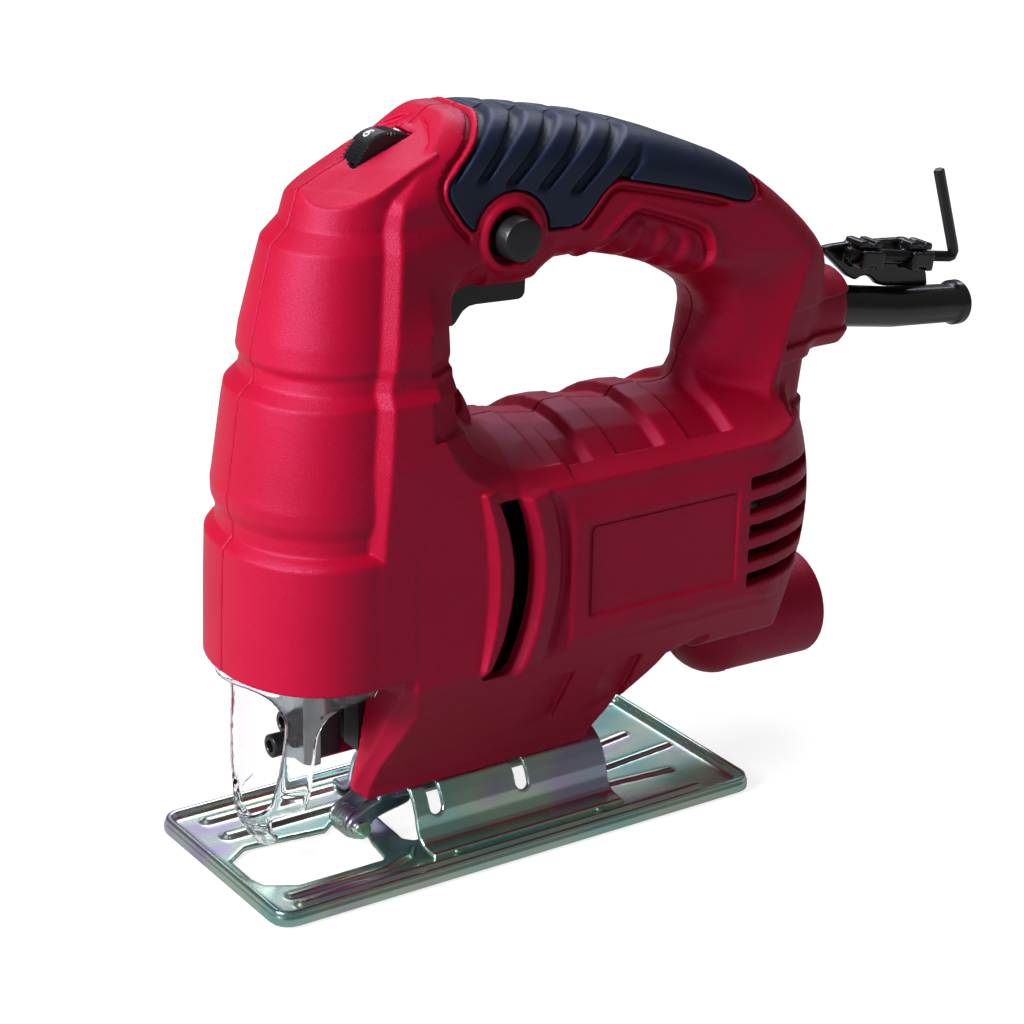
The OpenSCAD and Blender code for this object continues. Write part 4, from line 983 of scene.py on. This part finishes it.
DIGITS = {
    1: [[(-0.5, 0.9), (0.1, 1.5), (0.1, -1.5)]],
    2: [[(-0.9, 0.8), (-0.5, 1.4), (0.4, 1.4), (0.9, 0.8), (0.6, 0.1), (-0.9, -1.5), (0.9, -1.5)]],
    3: [[(-0.8, 1.2), (0, 1.5), (0.8, 0.9), (0.1, 0.1), (0.9, -0.6), (0.1, -1.5), (-0.9, -1.1)]],
    4: [[(0.4, -1.5), (0.4, 1.5), (-0.9, -0.6), (0.9, -0.6)]],
    5: [[(0.8, 1.5), (-0.7, 1.5), (-0.8, 0.2), (0.3, 0.4), (0.9, -0.5), (0.2, -1.5), (-0.9, -1.2)]],
    6: [[(0.6, 1.4), (-0.4, 1.1), (-0.9, 0.1), (-0.9, -0.9), (-0.2, -1.5), (0.6, -1.3), (0.9, -0.6), (0.4, 0.1), (-0.4, 0.1),
         (-0.9, -0.5)]],
}


def on_dial(across_dial, up, centre):
    """A point of a figure on the wheel's rim; up runs round the rim towards the rear."""
    angle = math.radians(centre + math.degrees(up / DIAL_R))
    return (DIAL[0] + (DIAL_R + 0.02) * math.cos(angle), across_dial, DIAL[1] + (DIAL_R + 0.02) * math.sin(angle))


for figure, strokes in DIGITS.items():
    path = curve([on_dial(x, z, 69 + 50 * (6 - figure)) for x, z in strokes[0]], 2)
    length = float(np.linalg.norm(np.diff(path, axis=0), axis=1).sum())
    swept("dial_figure_" + str(figure), path, [(s, 0.22) for s in np.linspace(0, length, 40)], None, "dial", 8,
          material=MATERIAL["white_print"], side=(0.37, 0.05, 0.93))

# ---------------------------------------------------------------- CAD nodes keep their shape and get their finish

for item in frame["record"]["subparts"]:
    node = frame["nodes"][item["node"]]
    node.data.materials.clear()
    node.data.materials.append(MATERIAL[item["material_slot"]])

# ---------------------------------------------------------------- camera, light and floor

camera = bpy.data.objects.new("camera", bpy.data.cameras.new("camera"))
bpy.context.scene.collection.objects.link(camera)
azimuth, elevation, roll = math.radians(145.59), math.radians(21.14), math.radians(1.21)
back = Vector((math.sin(azimuth) * math.cos(elevation), -math.cos(azimuth) * math.cos(elevation), math.sin(elevation)))
right = Vector((math.cos(azimuth), math.sin(azimuth), 0))
up = back.cross(right)
right, up = right * math.cos(roll) + up * math.sin(roll), up * math.cos(roll) - right * math.sin(roll)
camera.matrix_world = Matrix.Translation((0.42408, 0.57127, 0.35109)) @ Matrix((right, up, back)).transposed().to_4x4()
camera.data.lens = 98.45
camera.data.sensor_width = 36
camera.data.clip_start = 0.01
bpy.context.scene.camera = camera


def area_light(name, place, target, size, power, colour=(1, 1, 1)):
    data = bpy.data.lights.new(name, "AREA")
    data.shape = "RECTANGLE"
    data.size, data.size_y = size
    data.energy = power
    data.color = colour
    light = bpy.data.objects.new(name, data)
    light.location = place
    light.rotation_euler = (Vector(target) - Vector(place)).to_track_quat("-Z", "Y").to_euler()
    bpy.context.scene.collection.objects.link(light)


area_light("key", (1.40, 0.10, 0.88), (0.0, 0, 0.1), (0.5, 0.5), 35, (1.0, 0.96, 1.0))
area_light("top", (-0.35, -0.5, 1.3), (0, 0, 0.1), (0.9, 0.6), 8, (0.93, 0.92, 1.0))
area_light("rear", (-0.85, -0.95, 1.2), (0, 0, 0.1), (1.3, 0.5), 7.5, (0.86, 0.82, 1.0))

# The camera sees plain white behind the object, and the object is lit by a dimmer sky.
world = bpy.data.worlds.new("studio")
bpy.context.scene.world = world
world.use_nodes = True
sky = world.node_tree.nodes["Background"]
sky.inputs["Color"].default_value = (1, 1, 1, 1)
SKY = 0.14


def seen_or_lit(tree, seen, lit, mirrored=0.0):
    """One value for what is seen straight or through the clear guard, another for what lights the object."""
    rays = add(tree, "ShaderNodeLightPath")
    direct = add(tree, "ShaderNodeMath", operation="MAXIMUM")
    tree.links.new(rays.outputs["Is Camera Ray"], direct.inputs[0])
    tree.links.new(rays.outputs["Is Transmission Ray"], direct.inputs[1])
    glossy = add(tree, "ShaderNodeMath", {"Value": rays.outputs["Is Glossy Ray"]}, operation="MULTIPLY")
    glossy.inputs[1].default_value = mirrored
    either = add(tree, "ShaderNodeMath", operation="MAXIMUM")
    tree.links.new(direct.outputs[0], either.inputs[0])
    tree.links.new(glossy.outputs[0], either.inputs[1])
    return add(tree, "ShaderNodeMapRange", {"Value": either.outputs[0], "To Min": lit, "To Max": seen}).outputs[0]


world.node_tree.links.new(seen_or_lit(world.node_tree, 1.0, SKY), sky.inputs["Strength"])

floor_mesh = bpy.data.meshes.new("floor")
floor_mesh.from_pydata([(-6, -6, -0.0006), (6, -6, -0.0006), (6, 6, -0.0006), (-6, 6, -0.0006)], [], [(0, 1, 2, 3)])
floor = bpy.data.objects.new("floor", floor_mesh)
bpy.context.scene.collection.objects.link(floor)
floor_mat, floor_tree, floor_shader = new_material("floor")
floor_shader.inputs["Base Color"].default_value = (0.30, 0.30, 0.30, 1)
floor_shader.inputs["Roughness"].default_value = 0.9
floor_shader.inputs["Specular IOR Level"].default_value = 0.0
floor_shader.inputs["Emission Color"].default_value = (1, 1, 1, 1)
floor_tree.links.new(seen_or_lit(floor_tree, 0.84, 0.0, 0.16), floor_shader.inputs["Emission Strength"])
floor_mesh.materials.append(floor_mat)
bpy.context.scene.view_settings.view_transform = "Standard"
